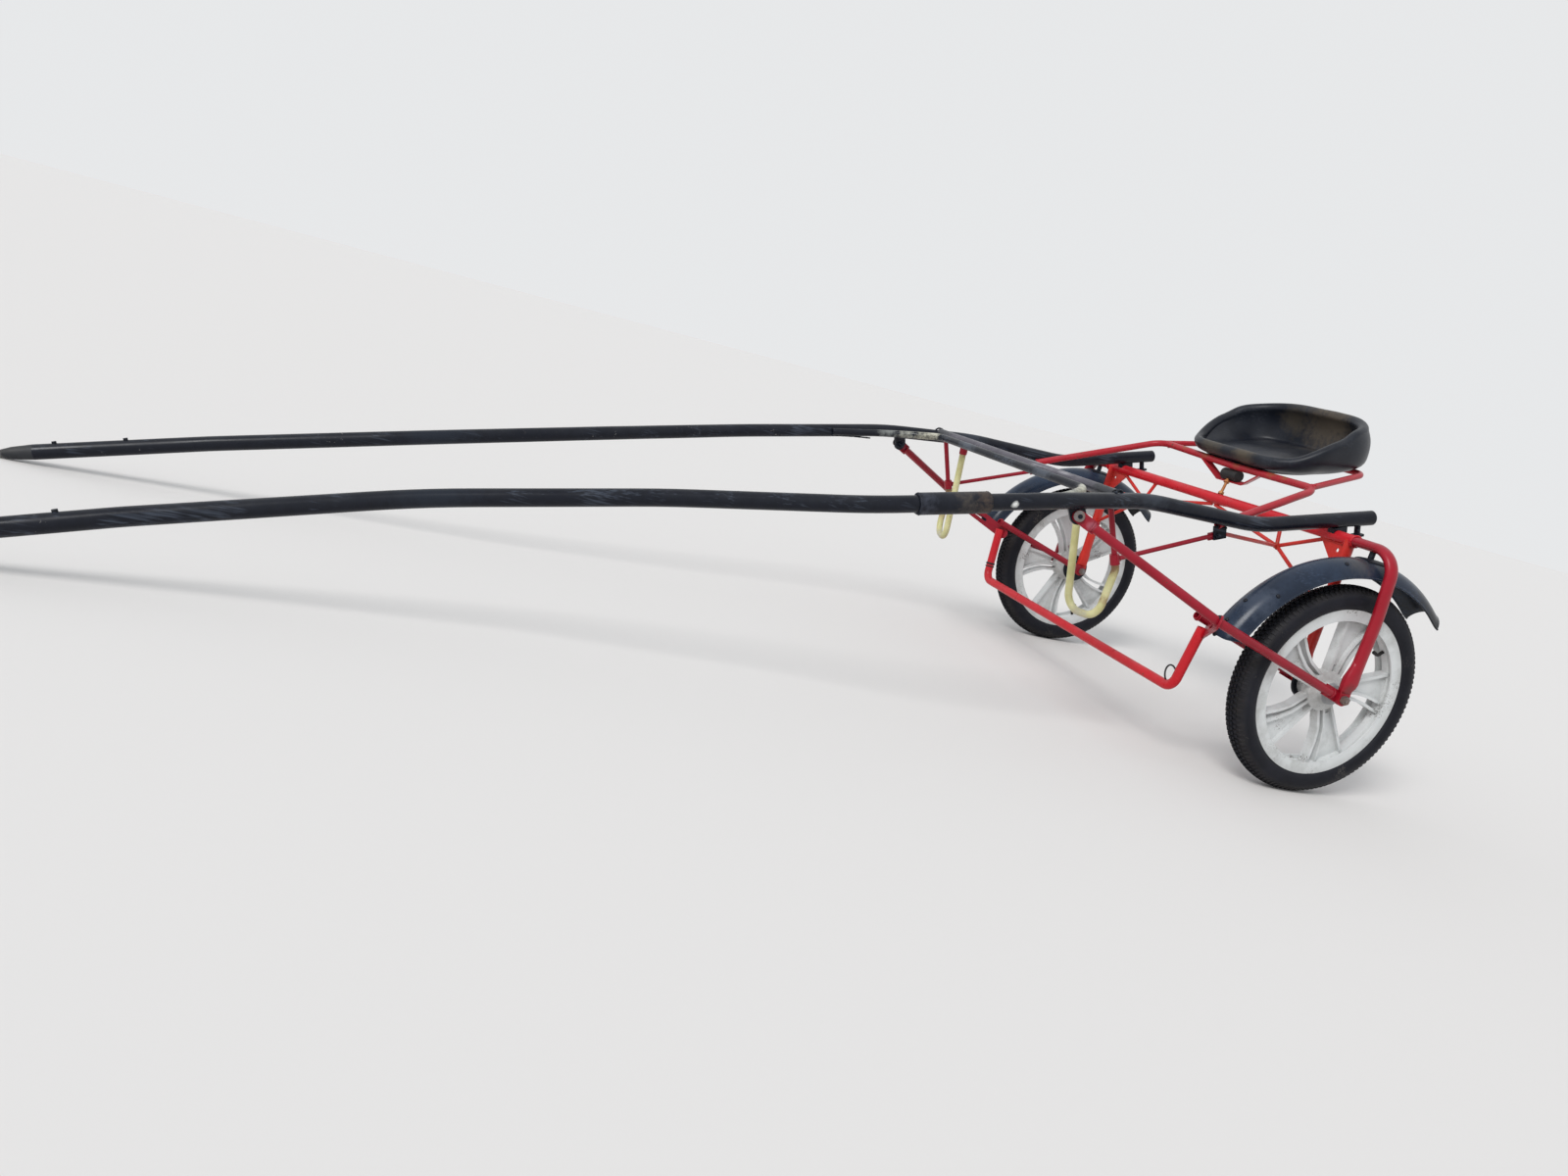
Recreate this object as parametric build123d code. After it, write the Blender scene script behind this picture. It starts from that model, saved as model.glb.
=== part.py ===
# A two-wheeled racing sulky, parked with its shafts' tips on the floor.
# Everything is laid out level, X forward, Y left, Z up, with the floor at Z 0 under the axle,
# and is turned nose down about the axle at the end. Millimetres throughout.
import os
from math import asin, atan2, degrees, hypot, radians, sin, tan
from build123d import *

# Stance
half_track = 567.0          # middle of a tyre from the middle of the sulky
tyre_radius = 260.0
axle_z = tyre_radius

# Tubes: outer radius and wall
shaft_r, shaft_wall = 18.0, 2.5
sleeve_r, sleeve_length, sleeve_x = 23.0, 155.0, 907.0
crossbar_r, crossbar_wall = 13.0, 2.5
bow_r, bow_wall = 10.0, 2.0
beam_r, beam_wall = 14.0, 2.0
brace_r, inner_r, brace_wall = 10.5, 9.5, 2.0
foot_r, foot_wall = 12.0, 2.0
seat_tube_r, hoop_r, seat_tube_wall = 9.5, 8.0, 2.0
rod_r = 5.0
stirrup_rod_r, hose_r, collar_r = 6.5, 9.0, 11.0
leg_wide, leg_thick, leg_wall = 34.0, 23.0, 2.0
inner_wide, inner_thick = 31.0, 20.0

# Shafts: points of the left shaft's middle line and the bend at each
shaft_points = [
    (-229.0, 441.0, 616.6, 0.0),
    (95.0, 431.0, 649.0, 380.0),
    (400.0, 438.0, 758.0, 380.0),
    (650.0, 504.0, 812.0, 420.0),
    (1080.0, 502.0, 871.0, 700.0),
    (1480.0, 418.0, 931.0, 1300.0),
    (1930.0, 367.0, 990.0, 1100.0),
    (2420.0, 395.0, 1039.0, 1600.0),
    (2795.0, 422.0, 1068.0, 0.0),
]
tip_length, tip_end_r = 85.0, 8.0
end_plate = 4.0
stud_r, stud_height = 5.0, 5.0
left_studs = (2513.0, 2663.0)
right_studs = (2600.0, 2750.0)

# Cross members
crossbar_x, crossbar_z, crossbar_half = 492.0, 789.0, 452.0
bow_points = [(820.0, 482.5, 834.0, 0.0), (640.0, 472.0, 806.0, 300.0), (524.0, 380.0, 793.0, 62.0)]
beam_x, beam_z = -125.0, 590.0
beam_end_y = 505.0

# Fork legs, braces and foot bar
outer_y, outer_corner_y, outer_bend = 629.0, 627.0, 60.0
leg_behind, leg_sweep, leg_sweep_r = 9.0, 9.0, 500.0
inner_y = 490.0
eye_thick, eye_r = 10.0, 16.0
leg_foot, leg_tang, brace_tang, inner_tang_long, tube_from = 34.0, 52.0, 56.0, 50.0, 30.0
brace_eye, inner_eye = 6.0, 6.0
front_bolt = (611.0, 496.0, 769.0)
brace_plate, brace_plate_wide, brace_plate_long = 6.0, 28.0, 46.0
brace_kink = (349.0, 630.0, 519.0)
kink_bend = 120.0
inner_front = (292.0, 480.0, 477.0)
strap_wide, strap_thick = 34.0, 5.0
strap_slot, strap_slot_wide = 46.0, 9.0
foot_top = (284.0, 493.0, 447.0)
foot_corner = (347.0, 471.0, 300.0)
foot_bend = 32.0
bolt_r = 5.0

# Truss under the beam
node_point = (-94.0, 284.0, 528.0)
mid_lug = (180.0, 418.5, 640.0)
leg_point = (-60.0, 482.0, 420.0)
gusset_out, gusset_deep, gusset_thick = 405.0, 96.0, 4.0
mid_long, mid_thick, mid_tall = 34.0, 5.0, 34.0
lug_y, lug_wide, post_x, post_r = 439.0, 20.0, -192.0, 7.0

# Stirrups
stirrup_top = (489.0, 425.0)
junction = (482.0, 436.0, 634.0)
stirrup_points = [(525.0, 430.0, 498.0), (546.0, 338.0, 498.0)]
stirrup_inner = (486.0, 302.0, 782.0)
stirrup_bend = 43.0
collar_h, clamp_long = 24.0, 32.0

# Seat and its frame
arm_front = (195.0, 417.5, 662.5)
seat_corner = (-178.0, 316.0, 680.0)
arm_bend = 55.0
seat_lean, rail_sag = 10.0, 6.0
hoop_start = (-178.0, 296.0, 680.0)
hoop_rear = (-430.0, 208.0, 656.0)
hoop_bend = 45.0
bracket_high_y, bracket_low_y, bracket_low_z = 124.0, 50.0, 630.5
bracket_wide, bracket_thick = 22.0, 4.0
bush_r, bush_long = 15.5, 60.0
bolt_rod_r = 4.0
bolt_lean = (-6.0, 14.0)
seat_wide, seat_deep, seat_round = 472.0, 346.0, 152.0
seat_floor_wide, seat_floor_deep, seat_floor_round = 372.0, 272.0, 92.0
seat_belly, seat_belly_deep = 8.0, 224.0
seat_back, seat_front, seat_side, seat_crown = 146.0, 44.0, 126.0, 26.0
seat_wall, seat_middle, seat_sink = 8.0, -144.0, 4.0
rim_bend_front, rim_bend_back, rim_blend = 38.0, 200.0, 70.0
rim_reach_front, rim_reach_back, rim_over = 120.0, 420.0, 300.0

# Wheels
rim_r, rim_inner_r, rim_half = 207.0, 179.0, 26.0
tyre_half, tyre_wall = 33.0, 7.0
hub_r, hub_in, hub_out = 31.0, 46.0, 40.0
flange_r, flange_half = 50.0, 11.0
cap_r, cap_depth = 42.0, 10.0
hub_nose_in, hub_nose_out, bead_r = 60.0, 49.0, 197.0
axle_r = 6.0
bore_gap = 0.05
spokes = 5
rib_wide, rib_half, web_half = 7.0, 12.0, 3.0
left_phase, right_phase = 45.6, 19.3
valve_r, valve_angle = 4.5, 115.0

# Mudguards
guard_edge, guard_rise, guard_half, guard_thick = 347.0, 35.0, 44.0, 3.0
guard_ahead, guard_under_beam, strap_room = 25.0, 18.0, 3.0
guard_from, guard_to, guard_tail = 42.0, 146.0, 15.0
guard_corner = 30.0
guard_curl, guard_curl_r, guard_bead = 12.0, 60.0, 2.5
saddle_wide, saddle_arc, saddle_thick = 44.0, 9.0, 3.0
stay_y, stay_r = 562.0, 7.0

# How it parks: turned nose down about the axle until the tips' undersides meet the floor
tip = Vector(*shaft_points[-1][:3])
before = Vector(*shaft_points[-2][:3])
tip_end = tip + (tip - before).normalized() * (tip_length - tip_end_r)
reach = hypot(tip_end.X, tip_end.Z - axle_z)
lift = degrees(atan2(tip_end.Z - axle_z, tip_end.X))
tilt = lift + degrees(asin((axle_z - tip_end_r) / reach))


def line(points):
    """Straight runs through the points, each with the arc that its fourth number gives."""
    edges = []
    last = Vector(*points[0][:3])
    for index in range(1, len(points) - 1):
        corner = Vector(*points[index][:3])
        bend = points[index][3]
        back = (last - corner).normalized()
        ahead = (Vector(*points[index + 1][:3]) - corner).normalized()
        half = radians(back.get_angle(ahead)) / 2
        run = bend / tan(half)
        middle = (back + ahead).normalized() * (bend / sin(half) - bend)
        edges.append(Line(last, corner + back * run))
        edges.append(ThreePointArc(corner + back * run, corner + middle, corner + ahead * run))
        last = corner + ahead * run
    edges.append(Line(last, Vector(*points[-1][:3])))
    return Wire(edges)


def rod(points, radius):
    path = line(points)
    start = Plane(origin=path @ 0, z_dir=path % 0)
    return sweep(start * Circle(radius), path=path)


def tube(points, radius, wall):
    return rod(points, radius) - rod(points, radius - wall)


def straight(a, b, radius):
    a, b = Vector(*a), Vector(*b)
    return extrude(Plane(origin=a, z_dir=b - a) * Circle(radius), (b - a).length)


def plate(a, b, wide, thick, side, nose_a=True, nose_b=True):
    """A flat bar from a to b, its faces square to side, with round noses."""
    a, b = Vector(*a), Vector(*b)
    along = b - a
    face = Plane(origin=a, x_dir=along, z_dir=Vector(*side))
    shape = Pos(along.length / 2, 0) * Rectangle(along.length, wide)
    if nose_a:
        shape += Circle(wide / 2)
    if nose_b:
        shape += Pos(along.length, 0) * Circle(wide / 2)
    return extrude(face * shape, thick / 2, both=True)


def across(y, x=0.0, z=axle_z):
    """A plane square to Y at a point, facing left."""
    return Plane(origin=(x, y, z), x_dir=(1, 0, 0), z_dir=(0, 1, 0))


def other(part):
    return mirror(part, about=Plane.XZ)


nodes = {}

# Shafts, with the left one's joining sleeve
joint_share = (sleeve_x - shaft_points[3][0]) / (shaft_points[4][0] - shaft_points[3][0])
joint = Vector(*shaft_points[3][:3]) * (1 - joint_share) + Vector(*shaft_points[4][:3]) * joint_share
joint_dir = (Vector(*shaft_points[4][:3]) - Vector(*shaft_points[3][:3])).normalized()
rear_run = shaft_points[:4] + [(joint.X, joint.Y, joint.Z, 0.0)]
front_run = [(joint.X, joint.Y, joint.Z, 0.0)] + shaft_points[4:]
rear_dir = Vector(*shaft_points[1][:3]) - Vector(*shaft_points[0][:3])
rear_cap = extrude(Plane(origin=shaft_points[0][:3], z_dir=rear_dir) * Circle(shaft_r), end_plate)
shaft_envelope = rod(shaft_points, shaft_r)
right_envelope = other(shaft_envelope)


def studs(places):
    """Domed harness studs along the top of the last straight run."""
    made = []
    for x in places:
        share = (x - before.X) / (tip.X - before.X)
        seat_on = before * (1 - share) + tip * share
        up = Vector(0, 0, 1)
        body = Plane(origin=seat_on + up * (shaft_r - 1.0), z_dir=up) * Circle(stud_r)
        made.append(extrude(body, stud_height + 1.0))
    return made


rear_part = rod(rear_run, shaft_r) - rod(rear_run, shaft_r - shaft_wall) + rear_cap
front_part = rod(front_run, shaft_r) - rod(front_run, shaft_r - shaft_wall)
for stud in studs(left_studs):
    front_part += stud
whole_part = rod(shaft_points, shaft_r) - rod(shaft_points, shaft_r - shaft_wall) + rear_cap
for stud in studs(right_studs):
    whole_part += stud
nodes["shaft_left_rear"] = rear_part
nodes["shaft_left_front"] = front_part
nodes["shaft_right"] = other(whole_part)
half_sleeve = joint_dir * (sleeve_length / 2)
sleeve = straight(joint - half_sleeve, joint + half_sleeve, sleeve_r)
nodes["shaft_sleeve"] = sleeve - straight(joint - half_sleeve, joint + half_sleeve, shaft_r)

# Tapered tips
tip_dir = (tip - before).normalized()
side_view = Plane(origin=tip, x_dir=(0, 1, 0), z_dir=tip_dir)
tip_body = loft([side_view * Circle(shaft_r), side_view.offset(tip_length * 0.55) * Circle(shaft_r * 0.8),
                 side_view.offset(tip_length - tip_end_r) * Circle(tip_end_r)], ruled=True)
tip_body += Pos(tip + tip_dir * (tip_length - tip_end_r)) * Sphere(tip_end_r)
nodes["tip_left"] = tip_body
nodes["tip_right"] = other(tip_body)

# Crossbar and bow between the shafts
bar_out = straight((crossbar_x, -crossbar_half, crossbar_z), (crossbar_x, crossbar_half, crossbar_z),
                   crossbar_r)
bar_in = straight((crossbar_x, -crossbar_half, crossbar_z), (crossbar_x, crossbar_half, crossbar_z),
                  crossbar_r - crossbar_wall)
nodes["crossbar"] = bar_out - bar_in - shaft_envelope - right_envelope
bow_run = bow_points + [(x, -y, z, bend) for x, y, z, bend in reversed(bow_points)]
bow_out = rod(bow_run, bow_r)
nodes["bow"] = bow_out - rod(bow_run, bow_r - bow_wall) - shaft_envelope - right_envelope - bar_out

# Axle beam
beam_out = straight((beam_x, -beam_end_y, beam_z), (beam_x, beam_end_y, beam_z), beam_r)
beam_in = straight((beam_x, -beam_end_y, beam_z), (beam_x, beam_end_y, beam_z), beam_r - beam_wall)
nodes["axle_beam"] = beam_out - beam_in

# Outer fork legs, bent over the mudguards
leg_dir = (Vector(beam_x, 0, beam_z) - Vector(0, 0, axle_z)).normalized()
leg_side = Vector(0, 1, 0).cross(leg_dir)
leg_end = Vector(leg_dir.X * leg_foot - leg_behind, outer_y, axle_z + leg_dir.Z * leg_foot)
leg_middle = (Vector(beam_x, outer_corner_y, beam_z) + leg_end) / 2 - leg_side * leg_sweep
leg_run = [(beam_x, beam_end_y, beam_z, 0.0), (beam_x, outer_corner_y, beam_z, outer_bend),
           tuple(leg_middle) + (leg_sweep_r,), tuple(leg_end) + (0.0,)]
leg_path = line(leg_run)
leg_start = Plane(origin=leg_path @ 0, x_dir=leg_side, z_dir=(0, 1, 0))
leg_solid = sweep(leg_start * Ellipse(leg_wide / 2, leg_thick / 2), path=leg_path)
leg_bore = sweep(leg_start * Ellipse(leg_wide / 2 - leg_wall, leg_thick / 2 - leg_wall), path=leg_path)
leg_body = leg_solid - leg_bore
tang_x, tang_z = leg_dir.X * leg_tang, axle_z + leg_dir.Z * leg_tang
leg_eye = plate((0, outer_y, axle_z), (tang_x, outer_y, tang_z), eye_r * 2, eye_thick, (0, 1, 0),
                nose_b=False)
axle_hole = straight((0, 0, axle_z), (0, half_track * 1.3, axle_z), axle_r)
outer_leg = leg_body + leg_eye - axle_hole
nodes["outer_leg_left"] = outer_leg
nodes["outer_leg_right"] = other(outer_leg)

# Inner fork legs
inner_foot = Vector(leg_dir.X * leg_foot, inner_y, axle_z + leg_dir.Z * leg_foot)
inner_head = Vector(beam_x, inner_y, beam_z)
inner_plane = Plane(origin=inner_foot, x_dir=leg_side, z_dir=inner_head - inner_foot)
inner_len = (inner_head - inner_foot).length
inner_solid = extrude(inner_plane * Ellipse(inner_wide / 2, inner_thick / 2), inner_len)
inner_bore = inner_plane * Ellipse(inner_wide / 2 - leg_wall, inner_thick / 2 - leg_wall)
inner_body = inner_solid - extrude(inner_bore, inner_len)
inner_tang = plate((0, inner_y, axle_z), (tang_x, inner_y, tang_z), eye_r * 2, eye_thick, (0, 1, 0),
                   nose_b=False)
inner_leg = inner_body + inner_tang - axle_hole - beam_out
nodes["inner_leg_left"] = inner_leg
nodes["inner_leg_right"] = other(inner_leg)

# Braces from the shafts to the outer ends of the axle
bolt = Vector(*front_bolt)
kink = Vector(*brace_kink)
down = (kink - bolt).normalized()
flat = (Vector(0, 1, 0) - down * down.Y).normalized()
brace_y = outer_y - eye_thick / 2 - brace_eye / 2
rear_at = Vector(0, brace_y, axle_z)
rear_way = (kink - rear_at).normalized()
brace_run = [tuple(bolt + down * (brace_plate_long - 12.0)) + (0.0,), tuple(kink) + (kink_bend,),
             tuple(rear_at + rear_way * tube_from) + (0.0,)]
brace_head = plate(bolt, bolt + down * brace_plate_long, brace_plate_wide, brace_plate, flat, nose_b=False)
rear_flat = (Vector(0, 1, 0) - rear_way * rear_way.Y).normalized()
brace_tail = plate(rear_at, rear_at + rear_way * brace_tang, 2 * eye_r - 4, brace_eye, rear_flat,
                   nose_b=False)
brace_out = rod(brace_run, brace_r)
bolt_rod = straight(bolt - flat * 22.0, bolt + flat * 12.0, bolt_r)
brace = brace_out - rod(brace_run, brace_r - brace_wall) + brace_head + brace_tail
brace = brace - axle_hole - bolt_rod - outer_leg
brace_solid = brace_out + brace_head + brace_tail
nodes["brace_left"] = brace
nodes["brace_right"] = other(brace)

# Lugs under the shafts that the braces bolt to, with their bolts
lug_side = flat * (brace_plate / 2 + 4.0)
lug_top = Vector(-down.X * 0.2, 0, 1.0)
lug_up = (lug_top - flat * lug_top.dot(flat)).normalized()
front_lug = plate(bolt - lug_side, bolt - lug_side + lug_up * 32.0, 36.0, 8.0, flat, nose_b=False)
bolt_face = Plane(origin=bolt + flat * (brace_plate / 2), z_dir=flat)
nut_face = Plane(origin=bolt - flat * (brace_plate / 2 + 14.0), z_dir=flat)
front_lug += bolt_rod
front_lug += extrude(bolt_face * RegularPolygon(9.0, 6), 6.0)
front_lug += extrude(nut_face * RegularPolygon(9.0, 6), 6.0)
front_lug -= shaft_envelope
nodes["front_lug_left"] = front_lug
nodes["front_lug_right"] = other(front_lug)

# Foot bar, hung from slotted straps off the braces
foot_run = [foot_top + (0.0,), foot_corner + (foot_bend,)]
foot_run += [(x, -y, z, bend) for x, y, z, bend in reversed(foot_run)]
foot_out = rod(foot_run, foot_r)
nodes["foot_bar"] = foot_out - rod(foot_run, foot_r - foot_wall)
foot_way = (Vector(*foot_corner) - Vector(*foot_top)).normalized()
strap_end = Vector(*foot_top) + foot_way * 14.0 + Vector(-foot_r - 1.0, 0, 0)
strap_run = strap_end - kink
strap_face = strap_run.cross(foot_way).normalized()
strap = plate(kink, strap_end, strap_wide, strap_thick, strap_face)
slot_from = kink + strap_run * 0.34
strap -= plate(slot_from, slot_from + strap_run.normalized() * strap_slot, strap_slot_wide, 20.0, strap_face)
strap = strap - brace_solid - foot_out
nodes["foot_strap_left"] = strap
nodes["foot_strap_right"] = other(strap)

# Inner braces, from the straps to the inner ends of the axle
inner_brace_y = inner_y - eye_thick / 2 - inner_eye / 2
inner_rear = Vector(0, inner_brace_y, axle_z)
inner_start = Vector(*inner_front)
inner_way = (inner_start - inner_rear).normalized()
inner_stop = inner_rear + inner_way * tube_from
inner_brace = straight(inner_start, inner_stop, inner_r)
inner_brace -= straight(inner_start, inner_stop, inner_r - brace_wall)
inner_flat = (Vector(0, 1, 0) - inner_way * inner_way.Y).normalized()
inner_end = inner_rear + inner_way * inner_tang_long
inner_brace += plate(inner_rear, inner_end, 2 * eye_r - 4, inner_eye, inner_flat,
                     nose_b=False)
inner_brace = inner_brace - axle_hole - inner_leg - strap - foot_out
nodes["inner_brace_left"] = inner_brace
nodes["inner_brace_right"] = other(inner_brace)

# Trusses under the beam, with the gusset in the corner of each inner leg
node_at = Vector(*node_point)
lug_at = Vector(*mid_lug)
beam_feet = [
    (beam_x + 3.0, 424.0, beam_z - 11.0),
    (beam_x, 262.0, beam_z - 6.0),
    (beam_x + 3.0, rod_r + 2.0, beam_z - beam_r - rod_r + 1.0),
]
truss = Pos(node_at) * Sphere(rod_r * 1.35)
for foot in beam_feet:
    truss += straight(node_at, foot, rod_r)
truss += straight(node_at, lug_at, rod_r)
truss += straight(node_at, leg_point, rod_r)
gusset_plane = Plane(origin=(beam_x, 0, beam_z), x_dir=(0, 1, 0), z_dir=leg_side)
gusset_drop = -1.0 if gusset_plane.y_dir.Z > 0 else 1.0
gusset_face = Polygon((inner_y, 0), (gusset_out, 0), (gusset_out, gusset_drop * 14.0),
                      (inner_y, gusset_drop * gusset_deep), align=None)
gusset = extrude(gusset_plane * gusset_face, gusset_thick / 2, both=True)
gusset -= extrude(gusset_plane * Pos(inner_y - 26.0, gusset_drop * 32.0) * Circle(bolt_r), 20.0, both=True)
truss = truss + gusset - beam_out - inner_solid

# Middle lugs under the shafts, where the truss and the stirrup stay meet
lean = seat_lean / seat_corner[1]
rail_x, rail_z = seat_corner[0], seat_corner[2]
seat_arm = [arm_front + (0.0,), (rail_x, seat_corner[1], rail_z - seat_lean, arm_bend),
            (rail_x, 0.0, rail_z - rail_sag, 1500.0),
            (rail_x, -seat_corner[1], rail_z + seat_lean, arm_bend),
            (arm_front[0], -arm_front[1], arm_front[2], 0.0)]
arm_out = rod(seat_arm, seat_tube_r)
mid_plate_at = lug_at + Vector(mid_long / 2 - 8.0, 0, mid_tall / 2 - 12.0)
mid_plate = Pos(mid_plate_at) * Box(mid_long, mid_thick, mid_tall)
mid_hole = Vector(lug_at.X + mid_long - 18.0, lug_at.Y, lug_at.Z - 2.0)
mid_part = mid_plate - shaft_envelope - arm_out
mid_part += straight(mid_hole - Vector(0, 14.0, 0), mid_hole + Vector(0, 10.0, 0), bolt_rod_r)
mid_part += extrude(across(mid_hole.Y + mid_thick / 2, mid_hole.X, mid_hole.Z) * RegularPolygon(7.0, 6), 5.0)
nodes["mid_lug_left"] = mid_part
nodes["mid_lug_right"] = other(mid_part)
truss = truss - mid_plate - Pos(0, mid_thick, 0) * mid_plate
nodes["truss_left"] = truss
nodes["truss_right"] = other(truss)

# Rear lugs: a block behind and over the beam, and a post at the shaft's end
rear_block = Pos(beam_x - 13.5, lug_y, beam_z + 3.0) * Box(27.0, lug_wide, 34.0)
rear_block += Pos(beam_x + 6.0, lug_y, beam_z + 14.0) * Box(12.0, lug_wide, 12.0)
rear_foot_long = beam_x - 2.0 - post_x
rear_foot = Pos((post_x + beam_x - 26.0) / 2, lug_y, beam_z - 11.0) * Box(rear_foot_long, lug_wide, 6.0)
rear_post = straight((post_x, lug_y, beam_z - 12.0), (post_x, lug_y, beam_z + 30.0), post_r)
rear_lug = rear_block + rear_foot + rear_post - beam_out - shaft_envelope
nodes["rear_lug_left"] = rear_lug
nodes["rear_lug_right"] = other(rear_lug)

# Stirrups: a strut, a loop of hose over a bent rod, its clamp and the stay behind
meet = Vector(*junction)
strut_top = Vector(stirrup_top[0], stirrup_top[1], crossbar_z - 4.0)
strut_way = (meet - strut_top).normalized()
collar_low = meet + strut_way * (collar_h / 2)
collar = straight(meet - strut_way * (collar_h / 2), collar_low, collar_r)
hose_in = meet + strut_way * 2.0
strut = straight(strut_top, hose_in, stirrup_rod_r) + collar
hose_run = [tuple(hose_in) + (0.0,), tuple(collar_low + strut_way * 12.0) + (26.0,)]
hose_run += [point + (stirrup_bend,) for point in stirrup_points]
inner_top = Vector(*stirrup_inner)
hose_way = (inner_top - Vector(*stirrup_points[-1])).normalized()
clamp_low = inner_top - hose_way * clamp_long
hose_stop = clamp_low + hose_way * (clamp_long * 0.45)
hose_run += [tuple(hose_stop) + (0.0,)]
hose_out = rod(hose_run, hose_r)
strut = strut - hose_out - bar_out
clamp = straight(clamp_low, inner_top, collar_r) - hose_out - bar_out
stay_end = Vector(mid_hole.X, mid_hole.Y - mid_thick / 2 - 2.5, mid_hole.Z)
stay_way = (meet - stay_end).normalized()
stay = straight(stay_end + stay_way * 14.0, meet, rod_r + 0.5)
stay_flat = (Vector(0, 1, 0) - stay_way * stay_way.Y).normalized()
stay += plate(stay_end, stay_end + stay_way * 22.0, 18.0, 5.0, stay_flat, nose_b=False)
stay = stay - strut - collar - hose_out - mid_part - mid_plate
for name, shape in (("stirrup_strut", strut), ("stirrup_loop", hose_out), ("stirrup_clamp", clamp),
                    ("stirrup_stay", stay)):
    nodes[name + "_left"] = shape
    nodes[name + "_right"] = other(shape)

# Seat frame: one bent tube off the shafts, and the hoop that carries the back of the seat
frame_tube = arm_out - rod(seat_arm, seat_tube_r - seat_tube_wall)
nodes["seat_frame"] = frame_tube - shaft_envelope - right_envelope
hoop_run = []
for (x, y, z), bend, side in ((hoop_start, 0.0, 1), (hoop_rear, hoop_bend, 1), (hoop_rear, hoop_bend, -1),
                              (hoop_start, 0.0, -1)):
    hoop_run.append((x, side * y, z - side * y * lean, bend))
hoop_out = rod(hoop_run, hoop_r)
nodes["seat_hoop"] = hoop_out - rod(hoop_run, hoop_r - seat_tube_wall) - arm_out

# Bracket, bush and eye bolt that steady the seat on the beam
strip_z = [rail_z - rail_sag / 2 - side * bracket_high_y * lean for side in (1, -1)]
strip_line = Polyline((bracket_high_y, strip_z[0]), (bracket_low_y, bracket_low_z),
                      (-bracket_low_y, bracket_low_z), (-bracket_high_y, strip_z[1]))
strip_plane = Plane(origin=(rail_x, 0, 0), x_dir=(0, 1, 0), z_dir=(1, 0, 0))
bracket = extrude(strip_plane * trace(strip_line, line_width=bracket_thick), bracket_wide / 2, both=True)
bush_z = bracket_low_z + bracket_thick / 2 + bush_r - 0.3
bolt_top = Vector(rail_x, bolt_lean[0], bush_z)
bolt_foot = Vector(beam_x, bolt_lean[1], beam_z)
bolt_way = (bolt_foot - bolt_top).normalized()
eye_bolt = straight(bolt_top, bolt_foot, bolt_rod_r)
for start, thick in ((bush_r + 6.0, 6.0), ((bolt_foot - bolt_top).length - beam_r - 8.5, 7.0)):
    nut_plane = Plane(origin=bolt_top + bolt_way * start, z_dir=bolt_way)
    eye_bolt += extrude(nut_plane * RegularPolygon(8.0, 6), thick)
eye_bolt = eye_bolt - beam_out
bracket = bracket - arm_out - eye_bolt
bush_plane = across(-bush_long / 2, rail_x, bush_z)
bush = extrude(bush_plane * Circle(bush_r), bush_long) - bracket - eye_bolt - arm_out
nodes["seat_bracket"] = bracket
nodes["seat_bush"] = bush
nodes["seat_bolt"] = eye_bolt

# Seat: a moulded bucket, low in front and high behind, resting on the rail and the hoop
seat_slope = degrees(atan2(rail_z + seat_tube_r - hoop_rear[2] - hoop_r, rail_x - hoop_rear[0]))
seat_turn = Rot(0, -seat_slope, 0) * Rot(-degrees(lean), 0, 0)
seat_at = Pos(rail_x, 0, rail_z + seat_tube_r - seat_sink) * seat_turn
belly_shift = (rail_x - hoop_rear[0]) / -2 - seat_middle
sections = [
    # height, depth, width, corner radius, shift forward
    (-seat_belly, seat_belly_deep, seat_floor_wide - 4.0, seat_floor_round - 18.0, belly_shift),
    (0.0, seat_floor_deep, seat_floor_wide, seat_floor_round, 0.0),
    (14.0, seat_deep - 24.0, seat_wide - 50.0, seat_round - 44.0, 0.0),
    (40.0, seat_deep - 6.0, seat_wide - 22.0, seat_round - 24.0, 0.0),
    (84.0, seat_deep, seat_wide, seat_round, 0.0),
    (124.0, seat_deep - 24.0, seat_wide - 20.0, seat_round - 4.0, 3.0),
    (165.0, seat_deep - 60.0, seat_wide - 56.0, seat_round - 14.0, 6.0),
]


def bucket(inset, from_row):
    faces = []
    for high, deep, wide, corner, shift in sections[from_row:]:
        face = Pos(seat_middle + shift, 0, high + inset) * RectangleRounded(
            deep - 2 * inset, wide - 2 * inset, corner - inset)
        faces.append(face)
    return loft(faces)


rim_side = FilletPolyline((rim_reach_front, seat_front), (-rim_bend_front, seat_front),
                          (-rim_bend_back, seat_side), (-rim_reach_back, seat_back), radius=rim_blend)
rim_top = make_face(rim_side + Polyline((-rim_reach_back, seat_back), (-rim_reach_back, rim_over),
                                        (rim_reach_front, rim_over), (rim_reach_front, seat_front)))
rim_plane = Plane(origin=(0, 0, 0), x_dir=(1, 0, 0), z_dir=(0, -1, 0))
rim_cut = extrude(rim_plane * rim_top, seat_wide, both=True)
half = seat_wide / 2
crown_low = seat_back - seat_crown
crown_arc = ThreePointArc((-half, crown_low), (0, seat_back), (half, crown_low))
crown_top = make_face(crown_arc + Polyline((half, crown_low), (half, rim_over), (-half, rim_over),
                                           (-half, crown_low)))
crown_plane = Plane(origin=(0, 0, 0), x_dir=(0, 1, 0), z_dir=(1, 0, 0))
rim_cut += extrude(crown_plane * crown_top, seat_deep * 2, both=True)
belly = loft([Pos(seat_middle + row[4], 0, row[0]) * RectangleRounded(row[1], row[2], row[3])
              for row in sections[:2]])
seat = bucket(0.0, 1) + belly - bucket(seat_wall, 1) - rim_cut
seat = seat_at * seat - arm_out - hoop_out
nodes["seat"] = seat

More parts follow.
